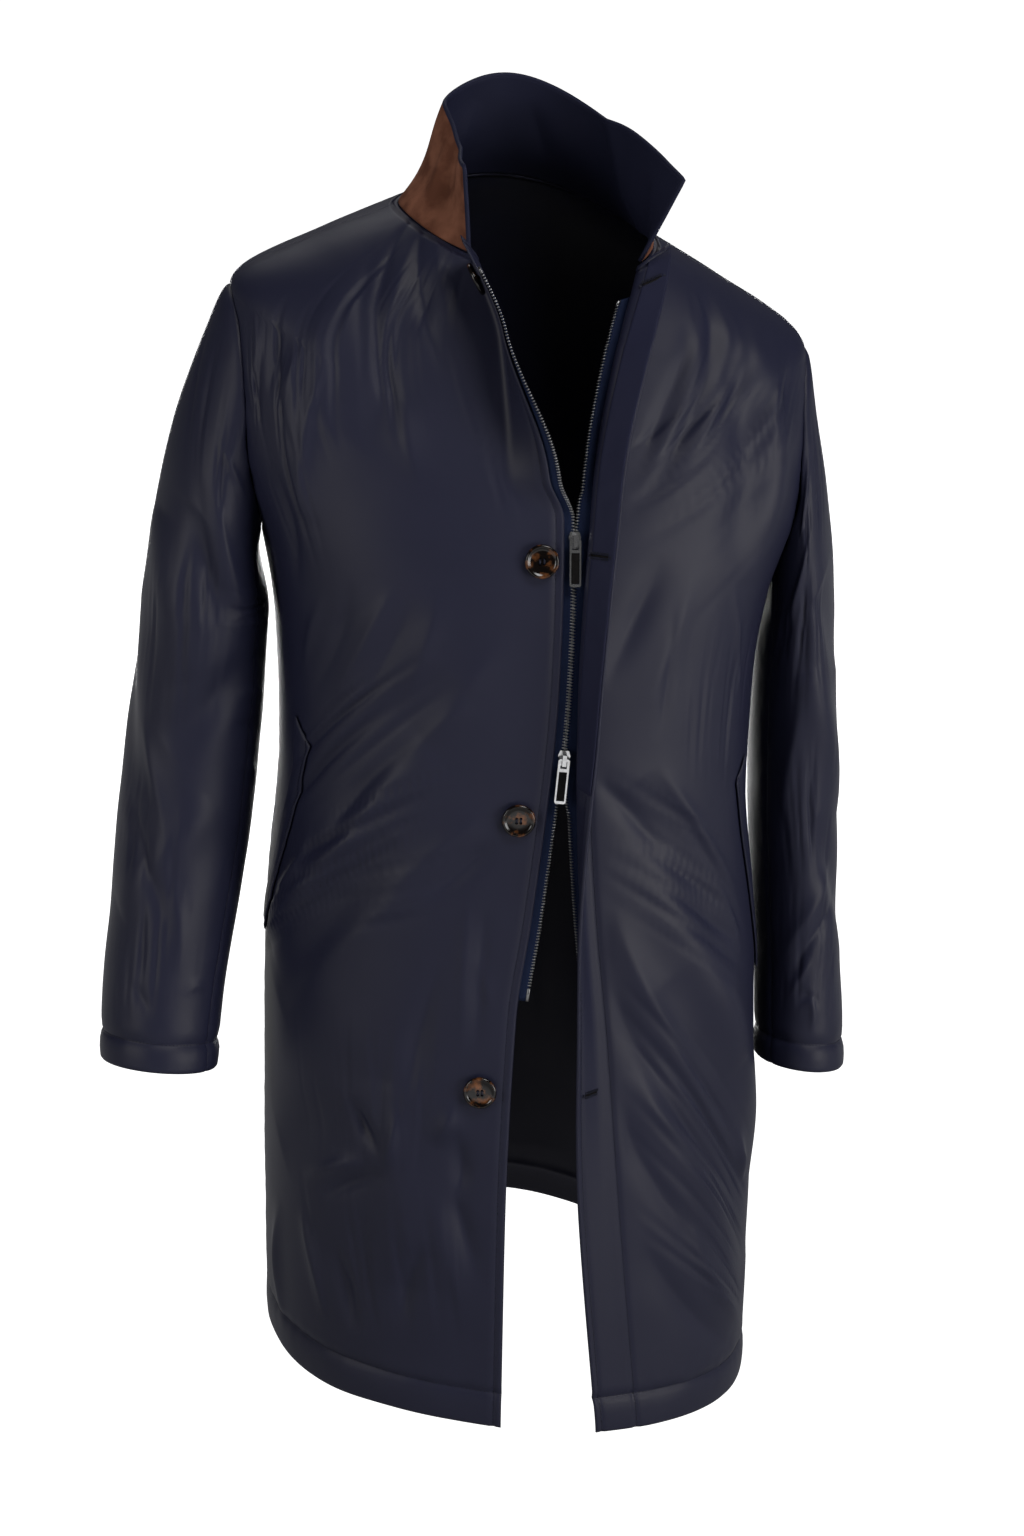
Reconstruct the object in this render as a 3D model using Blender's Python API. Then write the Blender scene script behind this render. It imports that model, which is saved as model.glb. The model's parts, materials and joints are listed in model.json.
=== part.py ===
"""A knee-length overcoat in its worn form, open at the neck and from the lower zip slider down.

Metres, +Z up. The front faces -Y and the wearer's left is +X. The origin is the middle of the
neck opening at the height of the shoulder seams, where the wearer carries the coat.
"""

import math
from collections import namedtuple

import bmesh
import bpy
import numpy as np
from mathutils import Matrix, Vector

for old in list(bpy.data.objects):
    bpy.data.objects.remove(old, do_unlink=True)

RIGHT, LEFT = -1, 1

# Cloth and seams
WALL = 0.003
TRIM_WALL = 0.0012
SEAM_GAP = 0.0003
SHOULDER_TILT = 0.11  # the wearer's left side hangs this much lower for each metre of width

# Body sections from hem to neckline, before the tilt
Ring = namedtuple("Ring", "level side_height front_height back_height half_width front back roundness")
RINGS = (
    Ring(0.00, -0.990, -0.990, -0.935, 0.207, 0.190, 0.168, 2.25),
    Ring(0.20, -0.798, -0.800, -0.775, 0.208, 0.183, 0.158, 2.35),
    Ring(0.37, -0.630, -0.630, -0.620, 0.206, 0.176, 0.150, 2.4),
    Ring(0.53, -0.460, -0.460, -0.455, 0.193, 0.168, 0.138, 2.4),
    Ring(0.63, -0.360, -0.360, -0.355, 0.196, 0.167, 0.146, 2.4),
    Ring(0.70, -0.290, -0.290, -0.280, 0.206, 0.163, 0.150, 2.4),
    Ring(0.79, -0.190, -0.220, -0.185, 0.238, 0.152, 0.146, 2.3),
    Ring(0.88, -0.092, -0.155, -0.095, 0.230, 0.134, 0.128, 2.2),
    Ring(0.94, -0.046, -0.093, -0.035, 0.163, 0.116, 0.103, 2.1),
    Ring(1.00, -0.014, -0.040, 0.008, 0.097, 0.095, 0.076, 2.0),
)
SHOULDER_SOFTNESS = 0.06  # towards the front and the back the shoulder rounds off over this much of the level
SIDE_SEAM_ANGLE = math.radians(94)
SHOULDER_SEAM_ANGLE = math.radians(90)

# The left front swings away from the neck: sideways shift of its front edge at each level
Swing = namedtuple("Swing", "level shift")
SWINGS = (Swing(0.0, 0.0), Swing(0.70, 0.0), Swing(0.88, 0.012), Swing(1.0, 0.034))
SWING_FULL_SINE = 0.3

# Armhole: an oval cut between these two body levels, this wide to the front and to the back
UNDERARM_LEVEL = 0.70
SHOULDER_LEVEL = 0.88
ARMHOLE_FRONT = math.radians(25)
ARMHOLE_BACK = math.radians(26)

# Roll lines, from the middle of the front, and how far the strip past each is turned out, in degrees
FrontLine = namedtuple("FrontLine", "level right_roll left_roll right_turn left_turn")
FRONT_LINES = (
    FrontLine(0.00, -0.0610, 0.0930, 0, 0),
    FrontLine(0.20, -0.0590, 0.0740, 0, 14),
    FrontLine(0.37, -0.0520, 0.0590, 0, 50),
    FrontLine(0.45, -0.0400, 0.0500, 0, 72),
    FrontLine(0.53, -0.0295, 0.0440, 0, 96),
    FrontLine(0.58, -0.0245, 0.0420, 0, 110),
    FrontLine(0.63, -0.0210, 0.0420, 0, 118),
    FrontLine(0.70, -0.0185, 0.0445, 0, 126),
    FrontLine(0.79, -0.0175, 0.0500, 0, 132),
    FrontLine(0.83, -0.0275, 0.0525, 25, 135),
    FrontLine(0.88, -0.0255, 0.0580, 60, 140),
    FrontLine(0.94, -0.0290, 0.0720, 98, 150),
    FrontLine(1.00, -0.0480, 0.0880, 104, 162),
)
RIGHT_STRIP = 0.040
RIGHT_BEND = 0.010
FLY_WIDTH = 0.037
FLY_BEND = 0.014
FACING_LEVELS = (0.56, 0.98)

# Largest folds of the body: a line from one angle, in degrees, and level to another, its width and height
Fold = namedtuple("Fold", "angle level to_angle to_level width height")
BODY_FOLDS = (
    Fold(-80, 0.37, -22, 0.58, 0.026, 0.007),
    Fold(-72, 0.33, -30, 0.50, 0.022, -0.006),
    Fold(-62, 0.45, -16, 0.64, 0.022, -0.005),
    Fold(-33, 0.98, -30, 0.82, 0.016, -0.005),
    Fold(-48, 0.93, -50, 0.74, 0.018, 0.005),
    Fold(-42, 0.27, -70, 0.20, 0.024, -0.005),
    Fold(-30, 0.30, -24, 0.12, 0.024, 0.005),
    Fold(45, 0.94, 42, 0.74, 0.018, -0.005),
    Fold(56, 0.92, 52, 0.72, 0.018, 0.005),
    Fold(20, 0.56, 55, 0.40, 0.024, -0.006),
    Fold(26, 0.50, 60, 0.32, 0.024, 0.006),
    Fold(28, 0.40, 76, 0.10, 0.028, -0.007),
    Fold(40, 0.44, 84, 0.20, 0.026, 0.006),
    Fold(150, 0.62, 128, 0.30, 0.030, -0.006),
    Fold(210, 0.60, 232, 0.26, 0.030, -0.006),
    Fold(185, 0.50, 172, 0.06, 0.034, 0.007),
)
BODY_RADIUS = 0.19
BODY_RUN = 1.04
FOLD_END_POWER = 0.7  # below 1 a fold keeps its height for longer before it fades at its ends

# Sleeve sections from below the underarm to the cuff, before the tilt
SleeveRing = namedtuple("SleeveRing", "run height out back half_width half_depth front_lift")
SLEEVE_RINGS = {
    RIGHT: (
        SleeveRing(0.0, -0.360, 0.2530, 0.000, 0.0520, 0.076, 0.000),
        SleeveRing(0.2, -0.445, 0.2620, 0.000, 0.0550, 0.073, 0.002),
        SleeveRing(0.4, -0.530, 0.2710, -0.008, 0.0550, 0.068, 0.006),
        SleeveRing(0.6, -0.612, 0.2825, -0.026, 0.0520, 0.062, 0.010),
        SleeveRing(0.8, -0.684, 0.2930, -0.046, 0.0495, 0.057, 0.011),
        SleeveRing(1.0, -0.738, 0.2970, -0.060, 0.0480, 0.054, 0.011),
    ),
    LEFT: (
        SleeveRing(0.0, -0.360, 0.2350, 0.012, 0.0340, 0.078, 0.000),
        SleeveRing(0.2, -0.442, 0.2375, 0.014, 0.0360, 0.075, 0.002),
        SleeveRing(0.4, -0.522, 0.2415, 0.012, 0.0365, 0.069, 0.004),
        SleeveRing(0.6, -0.600, 0.2460, 0.004, 0.0360, 0.062, 0.006),
        SleeveRing(0.8, -0.666, 0.2485, -0.006, 0.0370, 0.057, 0.008),
        SleeveRing(1.0, -0.710, 0.2490, -0.014, 0.0375, 0.054, 0.008),
    ),
}
# The way in which a sleeve head leaves its armhole, as shares of a step, and how strongly it keeps that way
HeadWay = namedtuple("HeadWay", "out_at_top out_at_underarm ahead down")
HEAD_WAYS = {RIGHT: HeadWay(0.45, 0.25, 0.20, 0.85), LEFT: HeadWay(0.20, 0.05, 0.20, 0.90)}
HEAD_PULL = 0.40
HEAD_GAP = 0.00045
ARM_LOOK_AHEAD = 0.05  # the share of the arm over which its first direction is read
SLEEVE_FOLDS = {
    RIGHT: (
        Fold(60, 0.55, 110, 0.95, 0.020, -0.005),
        Fold(20, 0.70, 80, 1.10, 0.024, 0.005),
        Fold(130, 1.05, 70, 1.25, 0.016, -0.005),
        Fold(-20, 1.00, 40, 1.40, 0.020, -0.005),
        Fold(110, 1.35, 30, 1.60, 0.018, 0.005),
        Fold(-60, 1.10, -110, 1.40, 0.020, -0.005),
    ),
    LEFT: (
        Fold(70, 0.60, 30, 1.00, 0.020, -0.005),
        Fold(90, 0.95, 20, 1.30, 0.020, 0.005),
        Fold(80, 1.30, 0, 1.60, 0.018, -0.005),
        Fold(-60, 1.10, -110, 1.40, 0.020, -0.005),
    ),
}
SLEEVE_RADIUS = 0.06
SLEEVE_RUN = 0.40
FOREARM_SEAM = 8  # the seams fall on these columns, counted round the sleeve from its top
ELBOW_SEAM = 12

# Collar sections from the left front round the back to the right front: top edge over the seam
CollarSection = namedtuple("CollarSection", "angle height out")
COLLAR_SECTIONS = (
    CollarSection(-324, 0.066, 0.047),
    CollarSection(-310, 0.073, 0.014),
    CollarSection(-295, 0.079, -0.008),
    CollarSection(-280, 0.083, -0.020),
    CollarSection(-265, 0.085, -0.028),
    CollarSection(-220, 0.084, -0.030),
    CollarSection(-180, 0.082, -0.030),
    CollarSection(-140, 0.080, -0.033),
    CollarSection(-95, 0.077, -0.035),
    CollarSection(-75, 0.069, -0.037),
    CollarSection(-50, 0.064, -0.027),
    CollarSection(-30, 0.067, 0.010),
)
COLLAR_WALL = 0.0015
COLLAR_BOW = 0.30  # where it leans in, the collar does so more strongly near its seam

# Pocket welts: angle and level of the two ends of the front edge
WELT_TOP = (math.radians(60), 0.548)
WELT_BOTTOM = (math.radians(81), 0.378)
WELT_WIDTH = 0.024
WELT_WALL = 0.002
WELT_GAP = 0.0008
WELT_SKEW = 0.02  # the upper end rises by this much of the body's level across the welt

# Zip
TAPE_WALL = 0.001
TAPE_UNDER = 0.006
TAPE_GAP = 0.0008
TAPE_OUT = 0.007
CHAIN_GAP = 0.002
OPEN_TAPE_REACH = 0.0145
ZIP_PARTING = 0.05  # the tapes part over this much of the body's level past each slider
CHAIN_LOOK = 0.02  # the teeth's direction at a slider is read this much of the level to either side
SLIDER_LIFT = 0.0006
ZIP_BOTTOM = 0.385
ZIP_TOP = 0.98
UPPER_SLIDER_LEVEL = 0.770
LOWER_SLIDER_LEVEL = 0.580
SLIDER_LENGTH = 0.013
SLIDER_TOP_WIDTH = 0.0098
SLIDER_END_WIDTH = 0.0066
SLIDER_NOSE = 0.7  # share of the top width that is left at the slider's upper end
SLIDER_TAPER = 0.33  # share of the half length over which the sides draw in
SLIDER_PLATE = 0.002
CROWN_WIDTH = 0.0032
CROWN_BAR = 0.0016
CROWN_ROOM = 0.0030  # half of the tunnel's length
CROWN_HEIGHT = 0.0020  # from the pull's axis to the underside of the crown
AXIS_OVER_PLATE = 0.0036
PULL_WIDTH = 0.0090
PULL_LENGTH = 0.0360
PULL_WALL = 0.0020
PULL_BAR = 0.0018
PULL_EYE_WIDTH = 0.0052
PULL_EYE_END = 0.0072
PULL_CORNER = 0.0012
INLAY_WIDTH = 0.0058
INLAY_START = 0.0100
INLAY_END = 0.0335
INLAY_WALL = 0.0026

# Buttons, from the neck down, by level and distance in from the right front's edge
ButtonPlace = namedtuple("ButtonPlace", "level from_edge")
BUTTON_PLACES = (
    ButtonPlace(0.980, 0.016),
    ButtonPlace(0.745, 0.018),
    ButtonPlace(0.527, 0.022),
    ButtonPlace(0.307, 0.025),
)
BUTTON_RADIUS = 0.0134
BUTTON_THICKNESS = 0.0042
BUTTON_SHANK = 0.0018
# Button profile from its back round the rim to its dished middle, in shares of radius and thickness
ButtonRing = namedtuple("ButtonRing", "radius height")
BUTTON_PROFILE = (
    ButtonRing(0.55, 0.00),
    ButtonRing(0.90, 0.14),
    ButtonRing(1.00, 0.55),
    ButtonRing(0.89, 1.00),
    ButtonRing(0.78, 0.90),
    ButtonRing(0.66, 0.71),
)
HOLE_RADIUS = 0.0012
HOLE_SPACING = 0.0034
HOLE_SIDES = 6
BUTTON_SIDES = 18

# How finely the walls are divided
ROWS_BELOW_ZIP = 10
ROWS_AT_WAIST = 8
ROWS_AT_ARM = 10
ROWS_ON_SHOULDER = 5
FRONT_COLUMNS = 13
BACK_COLUMNS = 20
BEND_SHARES = (0.25, 0.5, 0.75, 1.0)
FLAT_SHARES = (0.35, 0.70, 1.0)
SLEEVE_CAP_ROWS = 8
SLEEVE_ARM_ROWS = 10
COLLAR_ROWS = 4
WELT_COLUMNS = 4
HALVINGS = 40

NUDGE = 1e-4  # the step over which slopes are read
SMOOTH_BELOW = math.radians(40)


# Curves and surfaces

def smooth(knots, values, at):
    """A curve through the rows of a table that never swings past them."""
    knots, values = np.asarray(knots, float), np.asarray(values, float)
    at = np.clip(np.asarray(at, float), knots[0], knots[-1])
    steps = np.diff(knots)
    rises = np.diff(values) / steps
    slopes = np.zeros(len(knots))
    slopes[0], slopes[-1] = rises[0], rises[-1]
    for i in range(1, len(rises)):
        if rises[i - 1] * rises[i] > 0:
            slopes[i] = 2 * rises[i - 1] * rises[i] / (rises[i - 1] + rises[i])
    i = np.clip(np.searchsorted(knots, at, side="right") - 1, 0, len(steps) - 1)
    u = (at - knots[i]) / steps[i]
    start = (1 + 2 * u) * (1 - u) ** 2 * values[i] + u * (1 - u) ** 2 * steps[i] * slopes[i]
    end = u**2 * (3 - 2 * u) * values[i + 1] - u**2 * (1 - u) * steps[i] * slopes[i + 1]
    return start + end


def column(rows, name, at):
    return smooth([row[0] for row in rows], [getattr(row, name) for row in rows], at)


def unit(vectors):
    return vectors / np.linalg.norm(vectors, axis=-1, keepdims=True)


def slopes_of(surface, u, v):
    along_u = surface(u + NUDGE, v) - surface(u - NUDGE, v)
    along_v = surface(u, v + NUDGE) - surface(u, v - NUDGE)
    return along_u, along_v


def normals_of(surface, u, v):
    along_u, along_v = slopes_of(surface, u, v)
    return unit(np.cross(along_u, along_v))


def fold_height(folds, angle, level, radius, run):
    """How far the folds lift a surface, each fading out from its line and towards its ends."""
    total = np.zeros(np.broadcast(angle, level).shape)
    for fold in folds:
        start = np.array([math.radians(fold.angle) * radius, fold.level * run])
        end = np.array([math.radians(fold.to_angle) * radius, fold.to_level * run])
        line = end - start
        across, along = angle * radius - start[0], level * run - start[1]
        share = np.clip((across * line[0] + along * line[1]) / (line @ line), 0, 1)
        gap = np.hypot(across - share * line[0], along - share * line[1])
        strength = np.sin(np.pi * share) ** FOLD_END_POWER
        total = total + fold.height * np.exp(-((gap / fold.width) ** 2)) * strength
    return total


def tilted(x, y, z):
    return np.stack([x, y, z - SHOULDER_TILT * x], -1)


# Body

def body_form(angle, level):
    """The body without folds. The angle goes round the wearer from the front, positive to +X."""
    angle, level = np.broadcast_arrays(np.asarray(angle, float), np.asarray(level, float))
    size = {name: column(RINGS, name, level) for name in Ring._fields[1:]}
    sine, cosine = np.sin(angle), np.cos(angle)
    power = 2 / size["roundness"]
    ahead = cosine > 0
    reach = np.where(ahead, size["front"], size["back"])
    rise = np.where(ahead, size["front_height"], size["back_height"]) - size["side_height"]
    spread = np.minimum(SHOULDER_SOFTNESS, (1 - level) / 2)
    rounded = (column(RINGS, "half_width", level - spread) + column(RINGS, "half_width", level + spread)) / 2
    half_width = size["half_width"] + (rounded - size["half_width"]) * cosine**2
    swing = np.clip(cosine, 0, 1) * np.clip(sine / SWING_FULL_SINE, 0, 1)
    x = half_width * np.sign(sine) * np.abs(sine) ** power + column(SWINGS, "shift", level) * swing
    y = -reach * np.sign(cosine) * np.abs(cosine) ** power
    return tilted(x, y, size["side_height"] + rise * cosine**2)


def body_point(angle, level):
    around = np.mod(angle + np.pi / 2, 2 * np.pi) - np.pi / 2
    near_left = fold_height(BODY_FOLDS, around, level, BODY_RADIUS, BODY_RUN)
    near_right = fold_height(BODY_FOLDS, around - 2 * np.pi, level, BODY_RADIUS, BODY_RUN)
    lift = near_left + np.where(around > np.pi, near_right, 0)
    inside = np.clip(level, 2 * NUDGE, 1 - 2 * NUDGE)
    return body_form(angle, level) + normals_of(body_form, angle, inside) * lift[..., None]


def angle_at(x, level):
    """The angle at which the front of the body is this far from its middle."""
    low = np.full(np.shape(level), -SHOULDER_SEAM_ANGLE)
    high = -low
    for _ in range(HALVINGS):
        middle = (low + high) / 2
        beyond = body_form(middle, level)[..., 0] > x
        high = np.where(beyond, middle, high)
        low = np.where(beyond, low, middle)
    return (low + high) / 2


def armhole_angle(turn, centre):
    """Angle on the body of the armhole's edge. The turn is 0 at the shoulder and grows to the front."""
    wide = np.where(np.sin(turn) > 0, -ARMHOLE_FRONT, ARMHOLE_BACK)
    return centre + wide * np.abs(np.sin(turn))


def armhole_level(turn):
    middle = (UNDERARM_LEVEL + SHOULDER_LEVEL) / 2
    return middle + (SHOULDER_LEVEL - UNDERARM_LEVEL) / 2 * np.cos(turn)


def seam_angle(level):
    share = np.clip((level - UNDERARM_LEVEL) / (SHOULDER_LEVEL - UNDERARM_LEVEL), 0, 1)
    return SIDE_SEAM_ANGLE + (SHOULDER_SEAM_ANGLE - SIDE_SEAM_ANGLE) * share


def panel_side(level, to_front):
    """Where a panel ends: at the side seam, then round the armhole, then along the shoulder seam."""
    share = (level - UNDERARM_LEVEL) / (SHOULDER_LEVEL - UNDERARM_LEVEL)
    turn = np.arccos(np.clip(2 * share - 1, -1, 1))
    return armhole_angle(turn if to_front else -turn, seam_angle(level))


def body_levels():
    below = np.linspace(0, ZIP_BOTTOM, ROWS_BELOW_ZIP + 1)
    waist = np.linspace(ZIP_BOTTOM, UNDERARM_LEVEL, ROWS_AT_WAIST + 1)[1:]
    beside = armhole_level(np.pi * np.arange(ROWS_AT_ARM - 1, 0, -1) / ROWS_AT_ARM)
    above = np.linspace(SHOULDER_LEVEL, 1, ROWS_ON_SHOULDER + 1)
    return np.concatenate([below, waist, beside, above])


def roll_x(side, level):
    return column(FRONT_LINES, "left_roll" if side == LEFT else "right_roll", level)


def edge_steps(side):
    """Distances past the roll line that divide a front's strip: round its bend, then on to its edge."""
    bend, wide = (FLY_BEND, FLY_WIDTH) if side == LEFT else (RIGHT_BEND, RIGHT_STRIP)
    flat = [bend + (wide - bend) * share for share in FLAT_SHARES]
    return np.array([bend * share for share in BEND_SHARES] + flat)


def front_edge(side, level, past):
    """Outer point, direction to the edge and outward normal at a distance past the roll line."""
    turn, bend = ("left_turn", FLY_BEND) if side == LEFT else ("right_turn", RIGHT_BEND)
    angle = angle_at(roll_x(side, level), level)
    along_u, along_v = slopes_of(body_point, angle, level)
    normal = unit(np.cross(along_u, along_v))
    ahead = -side * unit(along_u)
    full = np.radians(column(FRONT_LINES, turn, level)) + NUDGE
    turned = full * np.clip(past / bend, 0, 1)
    straight = np.minimum(past, 0) + np.maximum(past - bend, 0)
    forward = bend / full * np.sin(turned) + straight * np.cos(turned)
    outward = bend / full * (1 - np.cos(turned)) + straight * np.sin(turned)
    point = body_point(angle, level) + ahead * forward[..., None] + normal * outward[..., None]
    towards = ahead * np.cos(turned)[..., None] + normal * np.sin(turned)[..., None]
    facing = normal * np.cos(turned)[..., None] - ahead * np.sin(turned)[..., None]
    return point, towards, facing


# Sleeves

def sleeve_ring(side, turn, run):
    rows = SLEEVE_RINGS[side]
    size = {name: column(rows, name, run) for name in SleeveRing._fields[1:]}
    x = side * (size["out"] + size["half_width"] * np.cos(turn))
    y = size["back"] - size["half_depth"] * np.sin(turn)
    return tilted(x, y, size["height"] + size["front_lift"] * np.sin(turn))


def sleeve_form(side, turn, run):
    """A sleeve without folds: run 0 to 1 is the head, from the armhole, and 1 to 2 the arm."""
    turn, run = np.broadcast_arrays(np.asarray(turn, float), np.asarray(run, float))
    around = np.mod(turn + np.pi, 2 * np.pi) - np.pi
    level = armhole_level(around)
    start = body_point(side * armhole_angle(around, seam_angle(level)), level)
    way = HEAD_WAYS[side]
    top_share = (1 + np.cos(turn)) / 2
    out = way.out_at_underarm + (way.out_at_top - way.out_at_underarm) * top_share
    leaving = unit(np.stack([side * out, -way.ahead * np.sin(turn), np.full_like(turn, -way.down)], -1))
    start = start + leaving * HEAD_GAP
    arm = np.clip(run - 1, 0, 1)
    first = sleeve_ring(side, turn, 0 * arm)
    arriving = unit(sleeve_ring(side, turn, 0 * arm + ARM_LOOK_AHEAD) - first)
    pull = HEAD_PULL * np.linalg.norm(first - start, axis=-1, keepdims=True)
    head = np.clip(run, 0, 1)[..., None]
    bends = (start, start + leaving * pull, first - arriving * pull, first)
    shares = ((1 - head) ** 3, 3 * head * (1 - head) ** 2, 3 * head**2 * (1 - head), head**3)
    cap = sum(bend * share for bend, share in zip(bends, shares))
    return np.where((run < 1)[..., None], cap, sleeve_ring(side, turn, arm))


def sleeve_point(side, turn, run):
    def form(u, v):
        return sleeve_form(side, u, v)

    around = np.mod(turn + np.pi, 2 * np.pi) - np.pi
    lift = fold_height(SLEEVE_FOLDS[side], around, run, SLEEVE_RADIUS, SLEEVE_RUN)
    inside = np.clip(run, 2 * NUDGE, 2 - 2 * NUDGE)
    return form(turn, run) + side * normals_of(form, turn, inside) * lift[..., None]


# Collar

def collar_point(angle, rise):
    """The collar's outer face, from its seam on the neckline up to its top edge."""
    degrees = np.degrees(angle)
    seam = body_point(angle, np.ones_like(angle))
    outward = unit(seam * np.array([1, 1, 0]))
    up = column(COLLAR_SECTIONS, "height", degrees) * rise
    lean = column(COLLAR_SECTIONS, "out", degrees)
    bow = COLLAR_BOW * np.minimum(lean, 0) * np.sin(np.pi * rise) * (1 - rise)
    lift = np.array([0, 0, 1]) * (up + SEAM_GAP)[..., None]
    return seam + lift + outward * (lean * rise + bow)[..., None]


# Objects

def material(name, colour, roughness, metallic=0.0):
    made = bpy.data.materials.new(name)
    made.use_nodes = True
    shader = made.node_tree.nodes["Principled BSDF"]
    shader.inputs["Base Color"].default_value = (*colour, 1)
    shader.inputs["Roughness"].default_value = roughness
    shader.inputs["Metallic"].default_value = metallic
    return made


NAVY = material("navy_cloth", (0.016, 0.017, 0.030), 0.55)
SUEDE = material("brown_suede", (0.050, 0.020, 0.011), 0.95)
BLUE_TAPE = material("blue_tape", (0.012, 0.026, 0.085), 0.80)
SILVER = material("silver_metal", (0.62, 0.62, 0.63), 0.25, 1.0)
DARK_INLAY = material("dark_inlay", (0.020, 0.018, 0.018), 0.50)
TORTOISE = material("tortoise_button", (0.035, 0.012, 0.006), 0.18)


def place(name, mesh, finish):
    made = bpy.data.objects.new(name, mesh)
    bpy.context.scene.collection.objects.link(made)
    if not mesh.materials:
        mesh.materials.append(finish)
    mesh.shade_smooth()
    mesh.set_sharp_from_angle(angle=SMOOTH_BELOW)
    return made


def wall(name, outer, inner, finish):
    """A sheet with thickness: two grids of points joined round their border."""
    rows, columns = outer.shape[:2]
    points = np.concatenate([outer.reshape(-1, 3), inner.reshape(-1, 3)])
    index = np.arange(rows * columns).reshape(rows, columns)
    below = rows * columns
    a, b = index[:-1, :-1].ravel(), index[:-1, 1:].ravel()
    c, d = index[1:, 1:].ravel(), index[1:, :-1].ravel()
    quads = [np.stack([a, b, c, d], 1), np.stack([a, d, c, b], 1) + below]
    border = np.concatenate([index[0], index[1:, -1], index[-1, -2::-1], index[-2:0:-1, 0]])
    after = np.roll(border, -1)
    quads.append(np.stack([after, border, border + below, after + below], 1))
    faces = np.concatenate(quads)
    corners = points[faces]
    spread = np.cross(corners[:, 2] - corners[:, 0], corners[:, 3] - corners[:, 1])
    if np.einsum("ij,ij->", corners.mean(1), spread) < 0:
        faces = faces[:, [0, 3, 2, 1]]
    mesh = bpy.data.meshes.new(name)
    mesh.from_pydata(points.tolist(), [], faces.tolist())
    return place(name, mesh, finish)


def box(size, centre):
    made = bmesh.new()
    bmesh.ops.create_cube(made, size=1, matrix=Matrix.Translation(centre) @ Matrix.Diagonal((*size, 1)))
    mesh = bpy.data.meshes.new("box")
    made.to_mesh(mesh)
    made.free()
    return mesh


def prism(outline, thickness):
    """An outline in the XZ plane, given thickness along Y."""
    made = bmesh.new()
    face = made.faces.new([made.verts.new((x, -thickness / 2, z)) for x, z in outline])
    moved = bmesh.ops.extrude_face_region(made, geom=[face])["geom"]
    corners = [item for item in moved if isinstance(item, bmesh.types.BMVert)]
    bmesh.ops.translate(made, verts=corners, vec=(0, thickness, 0))
    bmesh.ops.recalc_face_normals(made, faces=made.faces)
    mesh = bpy.data.meshes.new("prism")
    made.to_mesh(mesh)
    made.free()
    return mesh


def combined(base, tool, operation):
    """The mesh left when one mesh is joined to another or cut by it."""
    pair = [bpy.data.objects.new("helper", mesh) for mesh in (base, tool)]
    for helper in pair:
        bpy.context.scene.collection.objects.link(helper)
    cut = pair[0].modifiers.new("cut", "BOOLEAN")
    cut.operation = operation
    cut.object = pair[1]
    bpy.context.view_layer.update()
    result = bpy.data.meshes.new_from_object(pair[0].evaluated_get(bpy.context.evaluated_depsgraph_get()))
    for helper in pair:
        bpy.data.objects.remove(helper, do_unlink=True)
    return result


# Panels

LEVELS = body_levels()
SEAM_TURN = SEAM_GAP / 2 / BODY_RADIUS


def front_panel(side, name):
    """A front from its side seam to its roll line, and on past it to its edge."""
    roll = angle_at(roll_x(side, LEVELS), LEVELS)
    seam = side * (panel_side(LEVELS, True) - SEAM_TURN)
    angles = seam[:, None] + (roll - seam)[:, None] * np.linspace(0, 1, FRONT_COLUMNS + 1)
    levels = np.broadcast_to(LEVELS[:, None], angles.shape)
    outer, normals = body_point(angles, levels), normals_of(body_point, angles, levels)
    past, edge_levels = np.meshgrid(edge_steps(side), LEVELS)
    edge, _, facing = front_edge(side, edge_levels, past)
    strip = np.concatenate([outer, edge], 1)
    inward = np.concatenate([normals, facing], 1)
    wall(name, strip, strip - WALL * inward, NAVY)
    return angles, outer, normals


FRONTS = {
    RIGHT: front_panel(RIGHT, "front_right"),
    LEFT: front_panel(LEFT, "front_left"),
}


def on_front(side, angle, level, lift):
    """A point over a front's own facets, lifted off them."""
    angles, outer, normals = FRONTS[side]
    row = int(np.clip(np.searchsorted(LEVELS, level, side="right") - 1, 0, len(LEVELS) - 2))
    share = (level - LEVELS[row]) / (LEVELS[row + 1] - LEVELS[row])
    ends = []
    for i in (row, row + 1):
        order = np.argsort(angles[i])
        raised = outer[i][order] + lift * normals[i][order]
        ends.append([np.interp(angle, angles[i][order], raised[:, axis]) for axis in range(3)])
    return (1 - share) * np.array(ends[0]) + share * np.array(ends[1])


def back_panel():
    seam = panel_side(LEVELS, False) + SEAM_TURN
    share = np.linspace(0, 1, BACK_COLUMNS + 1)
    angles = seam[:, None] + (2 * np.pi - 2 * seam)[:, None] * share
    levels = np.broadcast_to(LEVELS[:, None], angles.shape)
    outer = body_point(angles, levels)
    wall("back", outer, outer - WALL * normals_of(body_point, angles, levels), NAVY)
    return angles[-1]


back_neck = back_panel()


def facing_strip():
    """The facing shows where the fly is turned out, so it lies on the flat of the fly's inner face there."""
    rows = LEVELS[(LEVELS > FACING_LEVELS[0]) & (LEVELS < FACING_LEVELS[1])]
    past, levels = np.meshgrid(edge_steps(LEFT)[-len(FLAT_SHARES) - 1:], rows)
    point, _, facing = front_edge(LEFT, levels, past)
    near = point - facing * (WALL + SEAM_GAP)
    wall("front_left_facing", near, near - facing * TRIM_WALL, NAVY)


facing_strip()


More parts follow.
